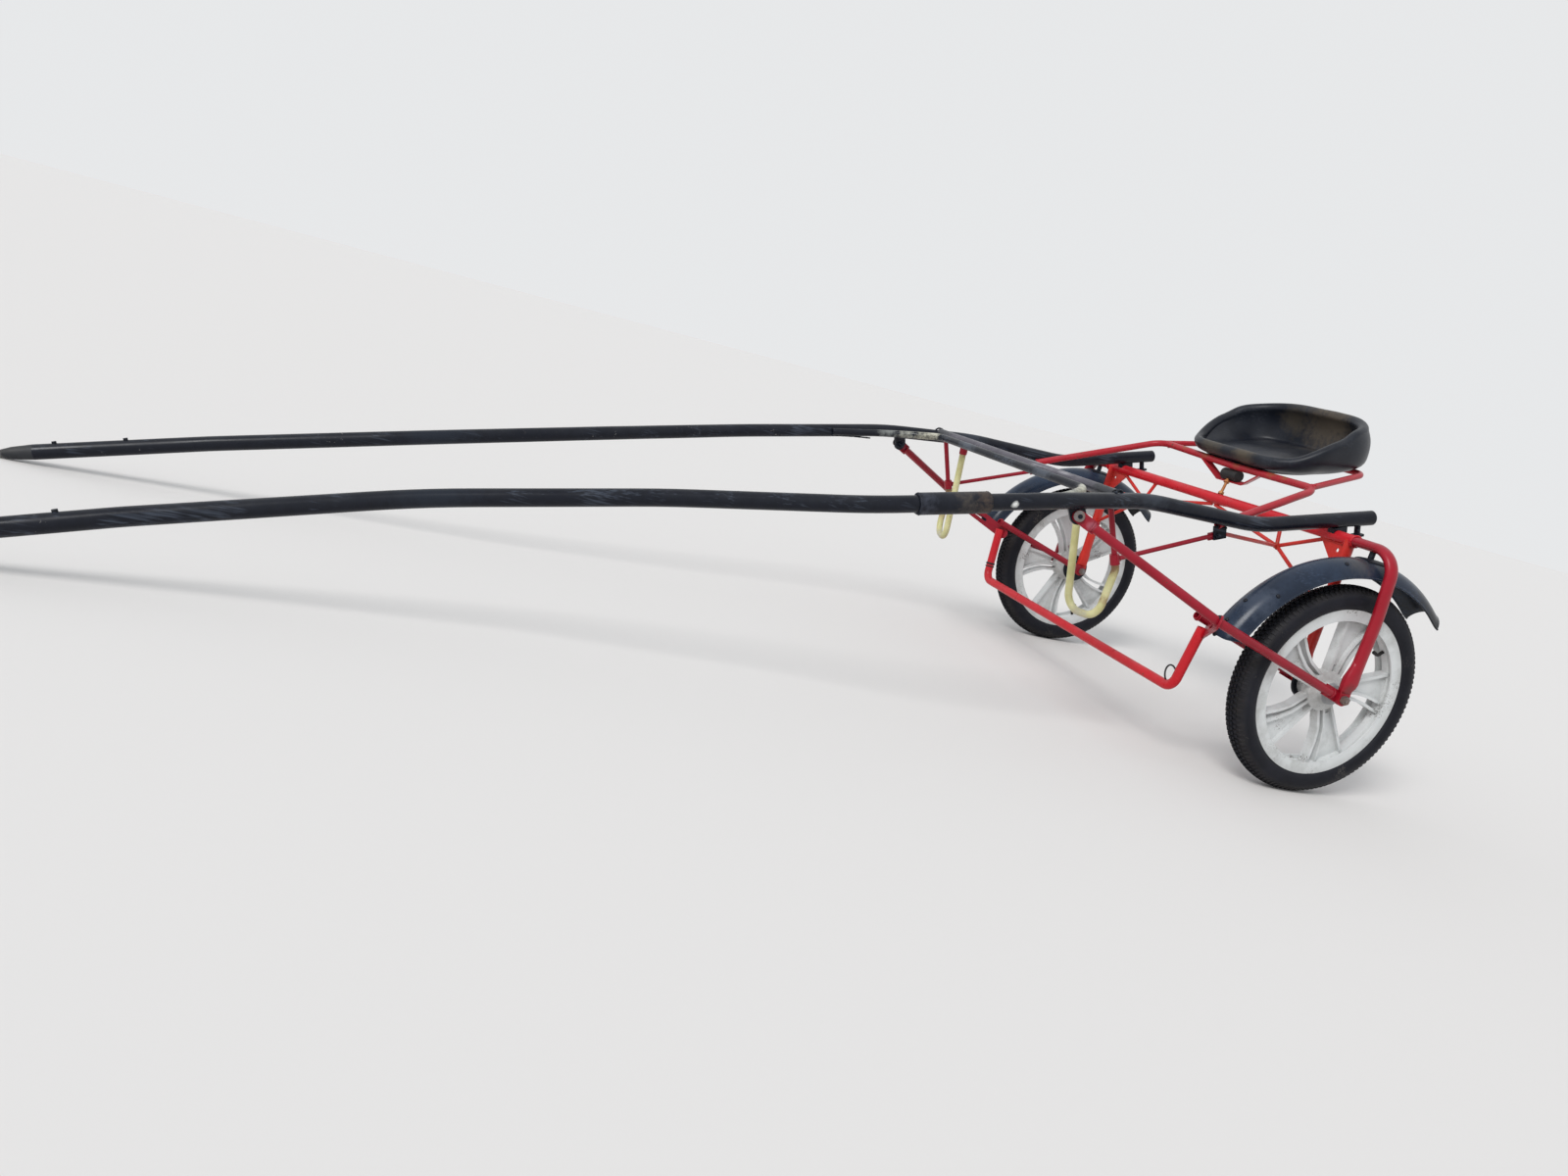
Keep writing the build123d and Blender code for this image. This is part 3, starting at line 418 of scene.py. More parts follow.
def weld_tree():
    """Sweeps a rippled bead along every line of the piece, as thick as its 'size'."""
    tree, given, out = new_tree("weld_bead", {"Ripple": float, "Depth": float, "Finish": "material"})
    curve = node(tree, "GeometryNodeMeshToCurve", Mesh=given["Geometry"])
    fine = node(tree, "GeometryNodeResampleCurve", {"mode": "LENGTH"}, Curve=curve.outputs[0],
                Length=bead_step)
    length = node(tree, "GeometryNodeSplineParameter").outputs["Length"]
    beat = maths(tree, "MULTIPLY", maths(tree, "DIVIDE", length, given["Ripple"]), 2 * math.pi)
    lump = node(tree, "ShaderNodeTexNoise", Scale=170.0, Detail=2.0).outputs["Fac"]
    swell = maths(tree, "MULTIPLY_ADD", maths(tree, "SINE", beat), given["Depth"], lump)
    thick = maths(tree, "MULTIPLY", maths(tree, "ADD", swell, 0.5), named(tree, "FLOAT", "size"))
    profile = node(tree, "GeometryNodeCurvePrimitiveCircle", Resolution=6, Radius=1.0)
    bead = node(tree, "GeometryNodeCurveToMesh", Curve=fine.outputs[0], Profile_Curve=profile.outputs[0],
                Scale=thick, Fill_Caps=True)
    smooth = node(tree, "GeometryNodeSetShadeSmooth", Geometry=bead.outputs[0])
    ends(tree, smooth.outputs[0], given["Finish"], out)
    return tree


bead_step, ripple_long, ripple_deep = 0.0012, 0.0034, 0.22
weld_bead = weld_tree()


def angles(count):
    """Equal steps round a full turn."""
    return [2 * math.pi * step / count for step in range(count)]


def saddle(start, along, wide, thick, main_at, main_along, main_r, count=28):
    """The line where a round or oval tube meets the skin of another."""
    along = Vector(along).normalized()
    main = Vector(main_along).normalized()
    side = main.cross(along).normalized()
    up = along.cross(side)
    across = along - main * along.dot(main)
    line = []
    for angle in angles(count):
        point = Vector(start) + side * (thick * math.cos(angle)) + up * (wide * math.sin(angle))
        off = point - Vector(main_at)
        off -= main * off.dot(main)
        a, b, c = across.dot(across), off.dot(across), off.dot(off) - main_r ** 2
        root = max(b * b - a * c, 0.0)
        line.append(point + along * ((-b - math.sqrt(root)) / a))
    return line, True


def ring(middle, along, wide, thick, wide_way=(0, 1, 0), count=28):
    """A line round a tube, square to it."""
    along = Vector(along).normalized()
    side = Vector(wide_way) - along * along.dot(Vector(wide_way))
    side.normalize()
    up = along.cross(side)
    line = []
    for angle in angles(count):
        line.append(Vector(middle) + side * (wide * math.cos(angle)) + up * (thick * math.sin(angle)))
    return line, True


def run(*points):
    """A bead along a straight or bent line."""
    return [Vector(point) for point in points], False


def weld(name, body, finish, lines, mirrored=True):
    """Lays beads along lines given for the left side, and along their twins on the right."""
    verts, edges, sizes = [], [], []
    for size, (line, closed) in lines:
        for side in (1, -1) if mirrored else (1,):
            first = len(verts)
            for point in line:
                verts.append(at(point.x, point.y * side, point.z))
                sizes.append(size)
            last = len(verts)
            edges += [(index, index + 1) for index in range(first, last - 1)]
            if closed:
                edges.append((last - 1, first))
    mesh = new_mesh(name, verts, edges, [])
    mesh.attributes.new("size", "FLOAT", "POINT").data.foreach_set("value", sizes)
    piece = stand(name, mesh)
    grow(piece, weld_bead, Ripple=ripple_long, Depth=ripple_deep, Finish=finish)
    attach(piece, body)


shaft_r = 0.018
sleeve_middle = Vector((0.907, 0.50280, 0.84726))
sleeve_way = Vector((430.0, -2.0, 59.0)).normalized()
sleeve_half = 0.0775
shaft_dip = (250.0, 66.0, 54.0)
lug_welds = [(0.0022, run((0.594, 0.489, 0.7855), (0.611, 0.489, 0.7895), (0.628, 0.489, 0.7930))),
             (0.0022, run((0.594, 0.498, 0.7855), (0.611, 0.498, 0.7895), (0.628, 0.498, 0.7930))),
             (0.0020, run((0.172, 0.4215, 0.6525), (0.187, 0.4215, 0.6560), (0.204, 0.4215, 0.6610)))]
bow_welds = [(0.0024, run((0.822, 0.4885, 0.8440), (0.790, 0.4880, 0.8375), (0.760, 0.4875, 0.8325),
                          (0.730, 0.4868, 0.8255), (0.705, 0.4862, 0.8190))),
             (0.0024, run((0.822, 0.4860, 0.8235), (0.760, 0.4850, 0.8120), (0.705, 0.4840, 0.7990)))]
bar_x, bar_z, bar_r = 0.492, 0.789, 0.013
bar_weld = saddle((bar_x, 0.430, bar_z), (0, 1, 0), bar_r, bar_r, (bar_x, 0.4623, 0.7779), shaft_dip,
                  shaft_r)
weld("black_welds", "frame", black, [(0.0026, bar_weld)] + lug_welds + bow_welds)

# Shaft sleeve. The left shaft was joined with a short tube slid over the cut and welded at both ends.
# The torch has left brown and blue tints beside the beads, under a rough coat of the same black.
burnt = [(tuple(sleeve_middle + sleeve_way * reach), 0.034, colour, False)
         for reach, colour in ((-0.066, (0.085, 0.060, 0.045)), (0.066, (0.05, 0.055, 0.075)),
                               (-0.02, (0.075, 0.062, 0.052)))]
sleeve_paint = black_paint("sleeve_paint", burnt, 0.3, 0.42, 0.9)
wear(["shaft_sleeve"], sleeve_paint)
sleeve_ends = [(0.0034, ring(sleeve_middle + sleeve_way * reach, sleeve_way, 0.0200, 0.0200))
               for reach in (-sleeve_half, sleeve_half)]
weld("sleeve_welds", "frame", sleeve_paint, sleeve_ends, mirrored=False)

# Shaft tips. Tapered plugs of hard black plastic, pushed into the tubes and scraped grey by the ground
# that they rest on when the sulky is parked.


def plastic(name, dark, light, rough, spots=(), grain=900.0, relief=0.35, dusty=0.3,
            dust=(0.2, 0.18, 0.15)):
    """Moulded plastic with a fine grain, faded in clouds and dusty where it faces up."""
    made, tree, shader, place = material(name, dark, Specular_IOR_Level=0.24)
    faded = noise(tree, place, 9.0, 5.0, 0.6)
    fade = ramp(tree, faded, 0.38, 0.68)
    cloud = effect(tree, settled_dust, place, Scale=8.0, Amount=dusty)
    lines = effect(tree, scuffs, place, Along=40.0, Across=300.0, Amount=0.35)
    base = layer(tree, fade, dark, light)
    base = layer(tree, lines.outputs["Scuffs"], base, [value * 1.8 + 0.02 for value in light])
    base = layer(tree, cloud.outputs["Dust"], base, dust)
    base = stained(tree, place, base, spots)
    shine = ramp(tree, faded, 0.3, 0.7, rough, rough + 0.14)
    finish_with(tree, shader, base, shine, noise(tree, place, grain, 2.0), 0.0003, relief)
    return made


tip_ground = [((2.8790, 0.4280, 1.0600), 0.03, (0.16, 0.155, 0.15), True)]
tip_plastic = plastic("tip_plastic", (0.014, 0.015, 0.018), (0.03, 0.032, 0.036), 0.42, tip_ground)
wear(both_sides("tip"), tip_plastic)

# Crossbar and bow. The bar between the shafts is rubbed to bare purplish steel where legs and reins pass,
# and the bent bow in front of it has cream patches in its corners, partly worn paint and partly a painted
# highlight.


def worn_bar():
    """Bare purplish steel, scratched along, that gives way to black paint near the shafts."""
    made, tree, shader, place = material("worn_bar", (0.3, 0.28, 0.32), Specular_IOR_Level=0.5)
    spot = node(tree, "ShaderNodeSeparateXYZ", Vector=place).outputs
    turned = node(tree, "ShaderNodeCombineXYZ", X=spot["Y"], Y=spot["X"], Z=spot["Z"]).outputs[0]
    ragged = maths(tree, "MULTIPLY_ADD", noise(tree, place, 40.0), 0.12, maths(tree, "ABSOLUTE", spot["Y"]))
    painted = ramp(tree, ragged, 0.40, 0.46)
    lines = effect(tree, scuffs, turned, Along=5.0, Across=300.0, Amount=0.9).outputs["Scuffs"]
    chips = effect(tree, paint_chips, place, Scale=70.0, Patches=12.0, Amount=1.3).outputs["Chips"]
    base = layer(tree, noise(tree, place, 25.0), (0.085, 0.078, 0.100), (0.19, 0.18, 0.21))
    base = layer(tree, lines, base, (0.46, 0.45, 0.48))
    base = layer(tree, chips, base, (0.05, 0.045, 0.05))
    base = layer(tree, painted, base, (0.018, 0.02, 0.026))
    metal = ramp(tree, painted, 0.0, 1.0, 0.75, 0.0)
    rough = ramp(tree, noise(tree, place, 55.0), 0.3, 0.7, 0.30, 0.48)
    finish_with(tree, shader, base, rough, lines, 0.0003, 0.4, metal)
    return made


wear(["crossbar"], worn_bar())
# The cream patches at the bow's bend are partly worn paint and partly a painted highlight.
bow_rubs_and_highlights = [((0.535, 0.425, 0.806), 0.060, (0.50, 0.48, 0.38), True),
            ((0.520, 0.400, 0.804), 0.034, (0.62, 0.60, 0.50), True),
            ((0.590, 0.460, 0.812), 0.050, (0.40, 0.40, 0.34), True),
            ((0.650, 0.474, 0.818), 0.040, (0.20, 0.21, 0.20), True),
            ((0.520, 0.200, 0.804), 0.060, (0.07, 0.08, 0.10), True)]
bow_paint = black_paint("bow_paint", bow_rubs_and_highlights, 0.7)
wear(["bow"], bow_paint)

# Red frame. Beam, fork legs, braces, trusses, foot bar and seat frame are bent steel tube and rod, welded
# up and sprayed a crimson gloss that has faded pink where it faces the sky and chipped to brown rust.


def red_paint(name, deep, bright, faded, spots=(), chipped=1.0, dusty=0.16):
    """Crimson gloss in blotches from deep to bright, under grime, pink fading and rusty chips."""
    made, tree, shader, place = material(name, bright, Specular_IOR_Level=0.26)
    chips = effect(tree, paint_chips, place, Scale=110.0, Patches=9.0, Amount=chipped)
    dust = effect(tree, settled_dust, place, Scale=12.0, Amount=dusty)
    grime = effect(tree, paint_chips, place, Scale=420.0, Patches=14.0, Amount=chipped * 1.1)
    blotches = noise(tree, place, 18.0)
    base = layer(tree, blotches, deep, bright)
    base = layer(tree, grime.outputs["Chips"], base, (0.13, 0.020, 0.022))
    base = layer(tree, dust.outputs["Dust"], base, faded)
    base = layer(tree, chips.outputs["Chips"], base, (0.11, 0.040, 0.024))
    base = stained(tree, place, base, spots)
    shine = ramp(tree, blotches, 0.3, 0.7, 0.24, 0.40)
    finish_with(tree, shader, base, shine, noise(tree, place, 90.0), 0.0005, 0.3)
    return made


rust = (0.24, 0.085, 0.030)
beam_red = red_paint("beam_red", (0.42, 0.005, 0.012), (0.62, 0.012, 0.022), (0.70, 0.20, 0.22), dusty=0.24)
truss_red = red_paint("truss_red", (0.46, 0.018, 0.014), (0.60, 0.032, 0.022), (0.66, 0.24, 0.20),
                      [((-0.094, 0.284, 0.528), 0.012, rust, True)])
leg_red = red_paint("leg_red", (0.22, 0.004, 0.012), (0.38, 0.008, 0.022), (0.60, 0.16, 0.21),
                    [((-0.010, 0.640, 0.285), 0.022, (0.20, 0.02, 0.024), True)])
brace_red = red_paint("brace_red", (0.20, 0.004, 0.012), (0.32, 0.007, 0.022), (0.52, 0.13, 0.17),
                      [((0.590, 0.512, 0.750), 0.013, (0.36, 0.09, 0.12), True)])
rail_rust = [((-0.172, 0.25 - 0.045 * step, 0.692 + 0.0014 * step), 0.015 + 0.006 * (step % 3), rust, False)
             for step in range(11)]
seat_red = red_paint("seat_frame_red", (0.28, 0.007, 0.015), (0.44, 0.016, 0.028), (0.58, 0.18, 0.20),
                     rail_rust, chipped=1.2, dusty=0.30)
wear(["axle_beam", "foot_bar"], beam_red)
wear(both_sides("truss", "inner_leg"), truss_red)
wear(both_sides("outer_leg"), leg_red)
wear(both_sides("brace", "inner_brace", "foot_strap", "stirrup_strut", "stirrup_clamp", "stirrup_stay"),
     brace_red)
wear(["seat_frame", "seat_hoop", "seat_bracket"], seat_red)

beam_up = axle_height + beam_over_axle
beam_at, beam_r, beam_way = (beam_behind, 0.4, beam_up), 0.014, (0, 1, 0)
leg_way = Vector((-0.35422, 0.0, 0.93516))
leg_flat = Vector((leg_way.z, 0.0, -leg_way.x))
outer_out, inner_out = 0.629, 0.490
rod_r = 0.005
truss_foot = Vector((-0.094, 0.284, 0.528))
inner_start = Vector((beam_behind, inner_out, beam_up)) - leg_way * 0.1
beam_welds = [(0.0024, saddle(inner_start, leg_way, 0.0155, 0.0100, beam_at, beam_way, beam_r)),
              (0.0024, ring((beam_behind, 0.5055, beam_up), beam_way, 0.0165, 0.0135, leg_flat))]
truss_welds = []
for foot in ((-0.122, 0.424, 0.579), (-0.125, 0.262, 0.584), (-0.122, 0.007, 0.572)):
    reach = Vector(foot) - truss_foot
    line = saddle(truss_foot + reach * 0.2, reach, rod_r, rod_r, beam_at, beam_way, beam_r, 18)
    truss_welds.append((0.0019, line))
for way_on in (Vector((0, 0.94, 0.34)), Vector((0.87, 0.42, 0.25)), Vector((0.2, 0.86, -0.47))):
    middle = truss_foot + way_on.normalized() * 0.007
    truss_welds.append((0.0016, ring(middle, way_on, 0.0056, 0.0056, (0.1, 0, 1), 14)))


def on_gusset(out, drop, lift):
    """A point of the gusset, in the slanting plane of beam and fork leg."""
    return Vector((beam_behind, out, beam_up)) + leg_way * drop - leg_flat * lift


for lift in (0.003, -0.003):
    truss_welds.append((0.0020, run(on_gusset(0.474, -0.0150, lift), on_gusset(0.440, -0.0150, lift),
                                    on_gusset(0.408, -0.0145, lift))))
    truss_welds.append((0.0020, run(on_gusset(0.4792, -0.020, lift), on_gusset(0.4792, -0.060, lift),
                                    on_gusset(0.4792, -0.092, lift))))
weld("beam_welds", "frame", beam_red, beam_welds)
weld("truss_welds", "frame", truss_red, truss_welds)

# Fork feet. The oval legs are hammered flat towards the axle and filled out with weld and paint,
# so each foot runs smoothly from the tube into its flat eye.
outer_foot = [
    # up from the axle, front edge, back edge, half thickness, how square
    (0.098, 0.0062, -0.0266, 0.0108, 2.0), (0.080, 0.0088, -0.0267, 0.0110, 2.0),
    (0.066, 0.0130, -0.0264, 0.0112, 2.2), (0.053, 0.0165, -0.0261, 0.0116, 2.8),
    (0.040, 0.0167, -0.0258, 0.0116, 3.0), (0.031, 0.0166, -0.0235, 0.0100, 3.2),
    (0.023, 0.0164, -0.0190, 0.0074, 3.6), (0.015, 0.0162, -0.0162, 0.0054, 5.0),
]
inner_foot = [
    (0.086, 0.0150, -0.0150, 0.0095, 2.0), (0.068, 0.0156, -0.0156, 0.0098, 2.0),
    (0.053, 0.0166, -0.0166, 0.0106, 3.0), (0.040, 0.0166, -0.0166, 0.0104, 3.2),
    (0.031, 0.0165, -0.0165, 0.0090, 3.4), (0.023, 0.0164, -0.0164, 0.0070, 4.0),
    (0.015, 0.0162, -0.0162, 0.0054, 5.0),
]


def fork_foot(name, across, sections, finish, count=32):
    """A smooth shell from each oval leg down to its eye, left and right in one mesh."""
    verts, faces = [], []
    rows = len(sections)
    for side in (1, -1):
        first = len(verts)
        for along, front, back, thick, square in sections:
            middle = Vector((0, across, axle_height)) + leg_way * along + leg_flat * ((front + back) / 2)
            for angle in angles(count):
                c, s = math.cos(angle), math.sin(angle)
                a = math.copysign(abs(c) ** (2 / square), c) * (front - back) / 2
                b = math.copysign(abs(s) ** (2 / square), s) * thick
                point = middle + leg_flat * a + Vector((0, b, 0))
                verts.append(at(point.x, point.y * side, point.z))
        faces += bands(rows, count, first)
        faces.append(tuple(first + step for step in range(count)))
        faces.append(tuple(first + (rows - 1) * count + step for step in reversed(range(count))))
    made = skin(name, verts, faces, finish)
    outwards(made.data)
    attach(made, "frame")


fork_foot("outer_fork_feet", outer_out, outer_foot, leg_red)
fork_foot("inner_fork_feet", inner_out, inner_foot, truss_red)

# Braces, stirrup rods and seat arms. Tubes flattened at the ends run from the shafts down to the axle, with
# straps to the foot bar and thin rods to the stirrups. Short beads hold them and the arms of the seat.
bolt_at, kink_at = Vector((0.611, 0.496, 0.769)), Vector((0.349, 0.630, 0.519))
brace_down = (kink_at - bolt_at).normalized()
axle_at = Vector((0.0, 0.621, axle_height))
brace_rear = (kink_at - axle_at).normalized()
inner_low = Vector((0.0, 0.482, axle_height))
inner_high = Vector((0.292, 0.480, 0.477))
inner_rise = (inner_high - inner_low).normalized()
foot_high, foot_low = Vector((0.284, 0.493, 0.447)), Vector((0.347, 0.471, 0.300))
foot_fall = (foot_low - foot_high).normalized()
strap_foot = foot_high + foot_fall * 0.014 + Vector((-0.013, 0, 0))
strap_way = (strap_foot - kink_at).normalized()
strap_side = foot_fall.cross(strap_way).cross(strap_way).normalized()
meet = Vector((0.482, 0.436, 0.634))
strut_high = Vector((0.489, 0.425, 0.785))
strut_fall = (meet - strut_high).normalized()
stay_start = Vector((0.196, 0.414, 0.638))
stay_rise = (meet - stay_start).normalized()
clamp_top = Vector((0.486, 0.302, 0.782))
clamp_rise = (clamp_top - Vector((0.546, 0.338, 0.498))).normalized()
bar_at = (bar_x, 0.3, bar_z)
brace_welds = [(0.0022, ring(bolt_at + brace_down * 0.036, brace_down, 0.0110, 0.0110)),
               (0.0022, ring(axle_at + brace_rear * 0.032, brace_rear, 0.0110, 0.0110)),
               (0.0020, ring(inner_low + inner_rise * 0.032, inner_rise, 0.0100, 0.0100)),
               (0.0020, ring(inner_high - inner_rise * 0.006, inner_rise, 0.0102, 0.0102)),
               (0.0024, run(kink_at + strap_way * 0.009 + strap_side * 0.015,
                            kink_at + strap_way * 0.012 + strap_side * 0.005,
                            kink_at + strap_way * 0.012 - strap_side * 0.005,
                            kink_at + strap_way * 0.009 - strap_side * 0.015)),
               (0.0024, run(foot_high + foot_fall * 0.002 + Vector((-0.010, 0.006, 0)),
                            foot_high + foot_fall * 0.016 + Vector((-0.010, 0.007, 0)),
                            foot_high + foot_fall * 0.032 + Vector((-0.010, 0.006, 0)))),
               (0.0020, saddle(meet, -strut_fall, 0.0065, 0.0065, bar_at, (0, 1, 0), bar_r, 18)),
               (0.0018, ring(meet - stay_rise * 0.012, stay_rise, 0.0058, 0.0058)),
               (0.0022, saddle(clamp_top - clamp_rise * 0.05, clamp_rise, 0.011, 0.011, bar_at, (0, 1, 0),
                               bar_r, 20))]
weld("brace_welds", "frame", brace_red, brace_welds)
arm_welds = [(0.0022, run((0.197, 0.4170, 0.6710), (0.188, 0.4185, 0.6700), (0.178, 0.4192, 0.6685),
                          (0.168, 0.4196, 0.6675))),
             (0.0022, run((-0.178, 0.2885, 0.6770), (-0.188, 0.2905, 0.6760), (-0.188, 0.3005, 0.6755)))]
weld("seat_frame_welds", "frame", seat_red, arm_welds)

# Foot bar trimmings. Two thin turns of black tape bind the right drop of the foot bar just over its bend,
# and an oval ring of black wire is left hanging at the left corner.


def strand(name, points, radius, finish, closed=False, order=3, round_by=10):
    """A smooth bent wire, hose or stem through a few points, as a mesh."""
    data = bpy.data.curves.new(name, "CURVE")
    data.dimensions = "3D"
    data.bevel_depth = radius
    data.bevel_resolution = round_by // 2 - 1
    data.resolution_u = 8
    data.use_fill_caps = True
    line = data.splines.new("NURBS")
    line.points.add(len(points) - 1)
    for spot, point in zip(line.points, points):
        spot.co = (*point, 1.0)
    line.order_u = order
    line.use_endpoint_u = not closed
    line.use_cyclic_u = closed
    drawn = stand(name + "_line", data)
    bpy.context.view_layer.update()
    mesh = bpy.data.meshes.new_from_object(drawn.evaluated_get(bpy.context.evaluated_depsgraph_get()))
    bpy.data.objects.remove(drawn)
    mesh.name = name
    mesh.materials.clear()
    mesh.materials.append(finish)
    mesh.polygons.foreach_set("use_smooth", [True] * len(mesh.polygons))
    return stand(name, mesh)


def lathe(name, place, axis, profile, finish, count=32, smooth=True):
    """A closed ring turned about an axis: (radius, along) points of its section in order."""
    axis = Vector(axis).normalized()
    side = axis.orthogonal().normalized()
    up = axis.cross(side)
    verts, faces = [], []
    size = len(profile)
    for angle in angles(count):
        out = side * math.cos(angle) + up * math.sin(angle)
        verts += [Vector(place) + out * radius + axis * along for radius, along in profile]
    for step in range(count):
        for index in range(size):
            here, there = step * size, (step + 1) % count * size
            after = (index + 1) % size
            faces.append((here + index, there + index, there + after, here + after))
    piece = skin(name, verts, faces, finish, smooth)
    outwards(piece.data)
    return piece


tape = plastic("black_tape", (0.012, 0.012, 0.014), (0.028, 0.028, 0.03), 0.5, grain=500.0)
far_high = Vector((foot_high.x, -foot_high.y, foot_high.z))
far_fall = Vector((foot_fall.x, -foot_fall.y, foot_fall.z))
tape_under, tape_edge, tape_top = 0.0116, 0.0134, 0.0140
tape_bands = [(0.112, 0.0028), (0.121, 0.0018)]
for number, (down_by, half) in enumerate(tape_bands, 1):
    middle = at(*(far_high + far_fall * down_by))
    section = [(tape_under, -half), (tape_edge, -half), (tape_top, 0.0), (tape_edge, half),
               (tape_under, half)]
    band = lathe(f"foot_bar_tape_{number}", middle, way(*far_fall), section, tape)
    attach(band, "frame")

ring_middle = Vector((0.337, 0.4525, 0.3255))
ring_up = Vector((-0.12, 0.08, 1.0)).normalized()
ring_side = Vector((0.80, -0.58, 0.12)).normalized()
ring_tall, ring_wide, ring_lean, ring_points, wire_r = 0.026, 0.0135, 0.003, 10, 0.0021
wire_points = []
for angle in angles(ring_points):
    across = ring_wide * math.cos(angle) + ring_lean * math.sin(angle)
    wire_points.append(at(*(ring_middle + ring_up * (ring_tall * math.sin(angle)) + ring_side * across)))
wire = strand("foot_bar_wire_ring", wire_points, wire_r, tape, closed=True, order=4)
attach(wire, "frame")

# Stirrups. A loop of pale yellow garden hose slid over a bent rod, held in steel collars painted red.
# It is stained brown below the collars and scuffed grey where the feet rest.
hose_spots = [((0.484, 0.436, 0.616), 0.026, (0.16, 0.085, 0.035), True),
              ((0.4875, 0.3035, 0.762), 0.026, (0.22, 0.12, 0.05), True),
              ((0.538, 0.384, 0.489), 0.040, (0.42, 0.39, 0.27), True),
              ((0.508, 0.433, 0.540), 0.016, (0.30, 0.21, 0.10), True)]


def hose_rubber():
    """Yellow rubber with dirt worked into its skin, stained where it meets the steel."""
    made, tree, shader, place = material("hose", (0.72, 0.68, 0.36), Specular_IOR_Level=0.5,
                                         Subsurface_Weight=0.05)
    clouds = noise(tree, place, 22.0)
    dirt = effect(tree, paint_chips, place, Scale=160.0, Patches=24.0, Amount=1.3).outputs["Chips"]
    base = layer(tree, ramp(tree, clouds, 0.35, 0.65), (0.47, 0.44, 0.19), (0.62, 0.59, 0.32))
    base = layer(tree, dirt, base, (0.36, 0.29, 0.14))
    base = stained(tree, place, base, hose_spots)
    finish_with(tree, shader, base, ramp(tree, clouds, 0.3, 0.7, 0.34, 0.5), noise(tree, place, 260.0, 2.0),
                0.0003, 0.5)
    return made


wear(both_sides("stirrup_loop"), hose_rubber())

# Seat bush, eye bolt and axles. A block of black rubber under the seat's strap takes the knocks, a rusty
# orange eye bolt ties it to the beam, and dull steel axles run through the ends of the forks.


def old_steel(name, bare, rusty, amount, rough):
    """Dull bare steel with clouds and pits of rust; amount 1 is rusty all over."""
    made, tree, shader, place = material(name, bare, Specular_IOR_Level=0.5)
    rusting = effect(tree, paint_chips, place, Scale=140.0, Patches=30.0, Amount=amount)
    clouds = ramp(tree, noise(tree, place, 45.0, 6.0, 0.65), 0.40, 0.60)
    base = layer(tree, noise(tree, place, 30.0), bare, [value * 0.7 for value in bare])
    base = layer(tree, maths(tree, "MULTIPLY", clouds, amount), base, rusty)
    base = layer(tree, rusting.outputs["Chips"], base, [value * 0.45 for value in rusty])
    metal = ramp(tree, clouds, 0.0, 1.0, 0.8, 0.8 - 0.75 * amount)
    shine = ramp(tree, clouds, 0.0, 1.0, rough, rough + 0.3)
    finish_with(tree, shader, base, shine, noise(tree, place, 300.0, 5.0, 0.7), 0.0005, 0.6, metal)
    return made


axle_steel = old_steel("axle_steel", (0.26, 0.25, 0.25), (0.15, 0.07, 0.035), 0.7, 0.35)
bolt_steel = old_steel("bolt_steel", (0.42, 0.20, 0.08), (0.45, 0.15, 0.04), 1.0, 0.5)
wear(both_sides("axle"), axle_steel)
wear(["seat_bolt"], bolt_steel)
bush_rubber = plastic("bush_rubber", (0.010, 0.010, 0.011), (0.026, 0.025, 0.026), 0.38, grain=300.0)
wear(["seat_bush"], bush_rubber)

# Seat. A bucket moulded in thick, soft black plastic, low in front, high behind, its edge rolled all
# round. It lies on the rail and the hoop, polished on the roll and browned with dust inside.
seat_hinge = Vector((-0.178, 0.0, 0.6855))
seat_turn = Matrix.Rotation(math.radians(-5.78), 3, "Y") @ Matrix.Rotation(math.radians(-1.813), 3, "X")
seat_middle = -0.144
seat_rows = [
    # height, depth, width, corner radius, shift forward
    (0.000, 0.272, 0.372, 0.092, 0.000),
    (0.014, 0.322, 0.422, 0.108, 0.000),
    (0.040, 0.340, 0.450, 0.128, 0.000),
    (0.084, 0.346, 0.472, 0.152, 0.000),
    (0.124, 0.322, 0.452, 0.148, 0.003),
    (0.165, 0.286, 0.416, 0.138, 0.006),
]
rim_front, rim_bend, rim_back, rim_slope_x = 0.044, 0.126, 0.146, (-0.038, -0.200, -0.420)
rim_crown_r = 1.084
roll_r, roll_in, wall_top, floor_high = 0.0150, 0.0135, 0.0275, 0.0230
slope_front, slope_back, slope_reach, slope_ease = 0.078, 0.036, 0.11, 2.2
belly_forward, belly_deep, crown_rise = 0.018, 0.008, 0.0051
lumps_close, lumps_high = 14.0, 0.0010
side_blend, crown_blend, first_lean = 0.006, 0.004, 1.6
corner_steps, side_steps = 14, 10


def on_seat(x, y, z):
    """A point of the seat's own frame on the level sulky."""
    return seat_turn @ Vector((x, y, z)) + seat_hinge


def seat_sizes(height):
    """Depth, width, corner and shift of the bucket at a height, smoothly between its rows."""
    height = max(seat_rows[0][0], min(height, seat_rows[-1][0]))
    index = max(i for i in range(len(seat_rows) - 1) if seat_rows[i][0] <= height)
    low, high = seat_rows[index], seat_rows[index + 1]
    before = seat_rows[max(index - 1, 0)]
    after = seat_rows[min(index + 2, len(seat_rows) - 1)]
    gap = high[0] - low[0]
    share = (height - low[0]) / gap
    sizes = []
    for column in range(1, 5):
        lean_in = (high[column] - before[column]) / (high[0] - before[0]) * gap
        lean_out = (after[column] - low[column]) / (after[0] - low[0]) * gap
        if index == 0:
            lean_in = (high[column] - low[column]) * first_lean
        s2, s3 = share * share, share ** 3
        sizes.append((2 * s3 - 3 * s2 + 1) * low[column] + (s3 - 2 * s2 + share) * lean_in
                     + (3 * s2 - 2 * s3) * high[column] + (s3 - s2) * lean_out)
    return sizes


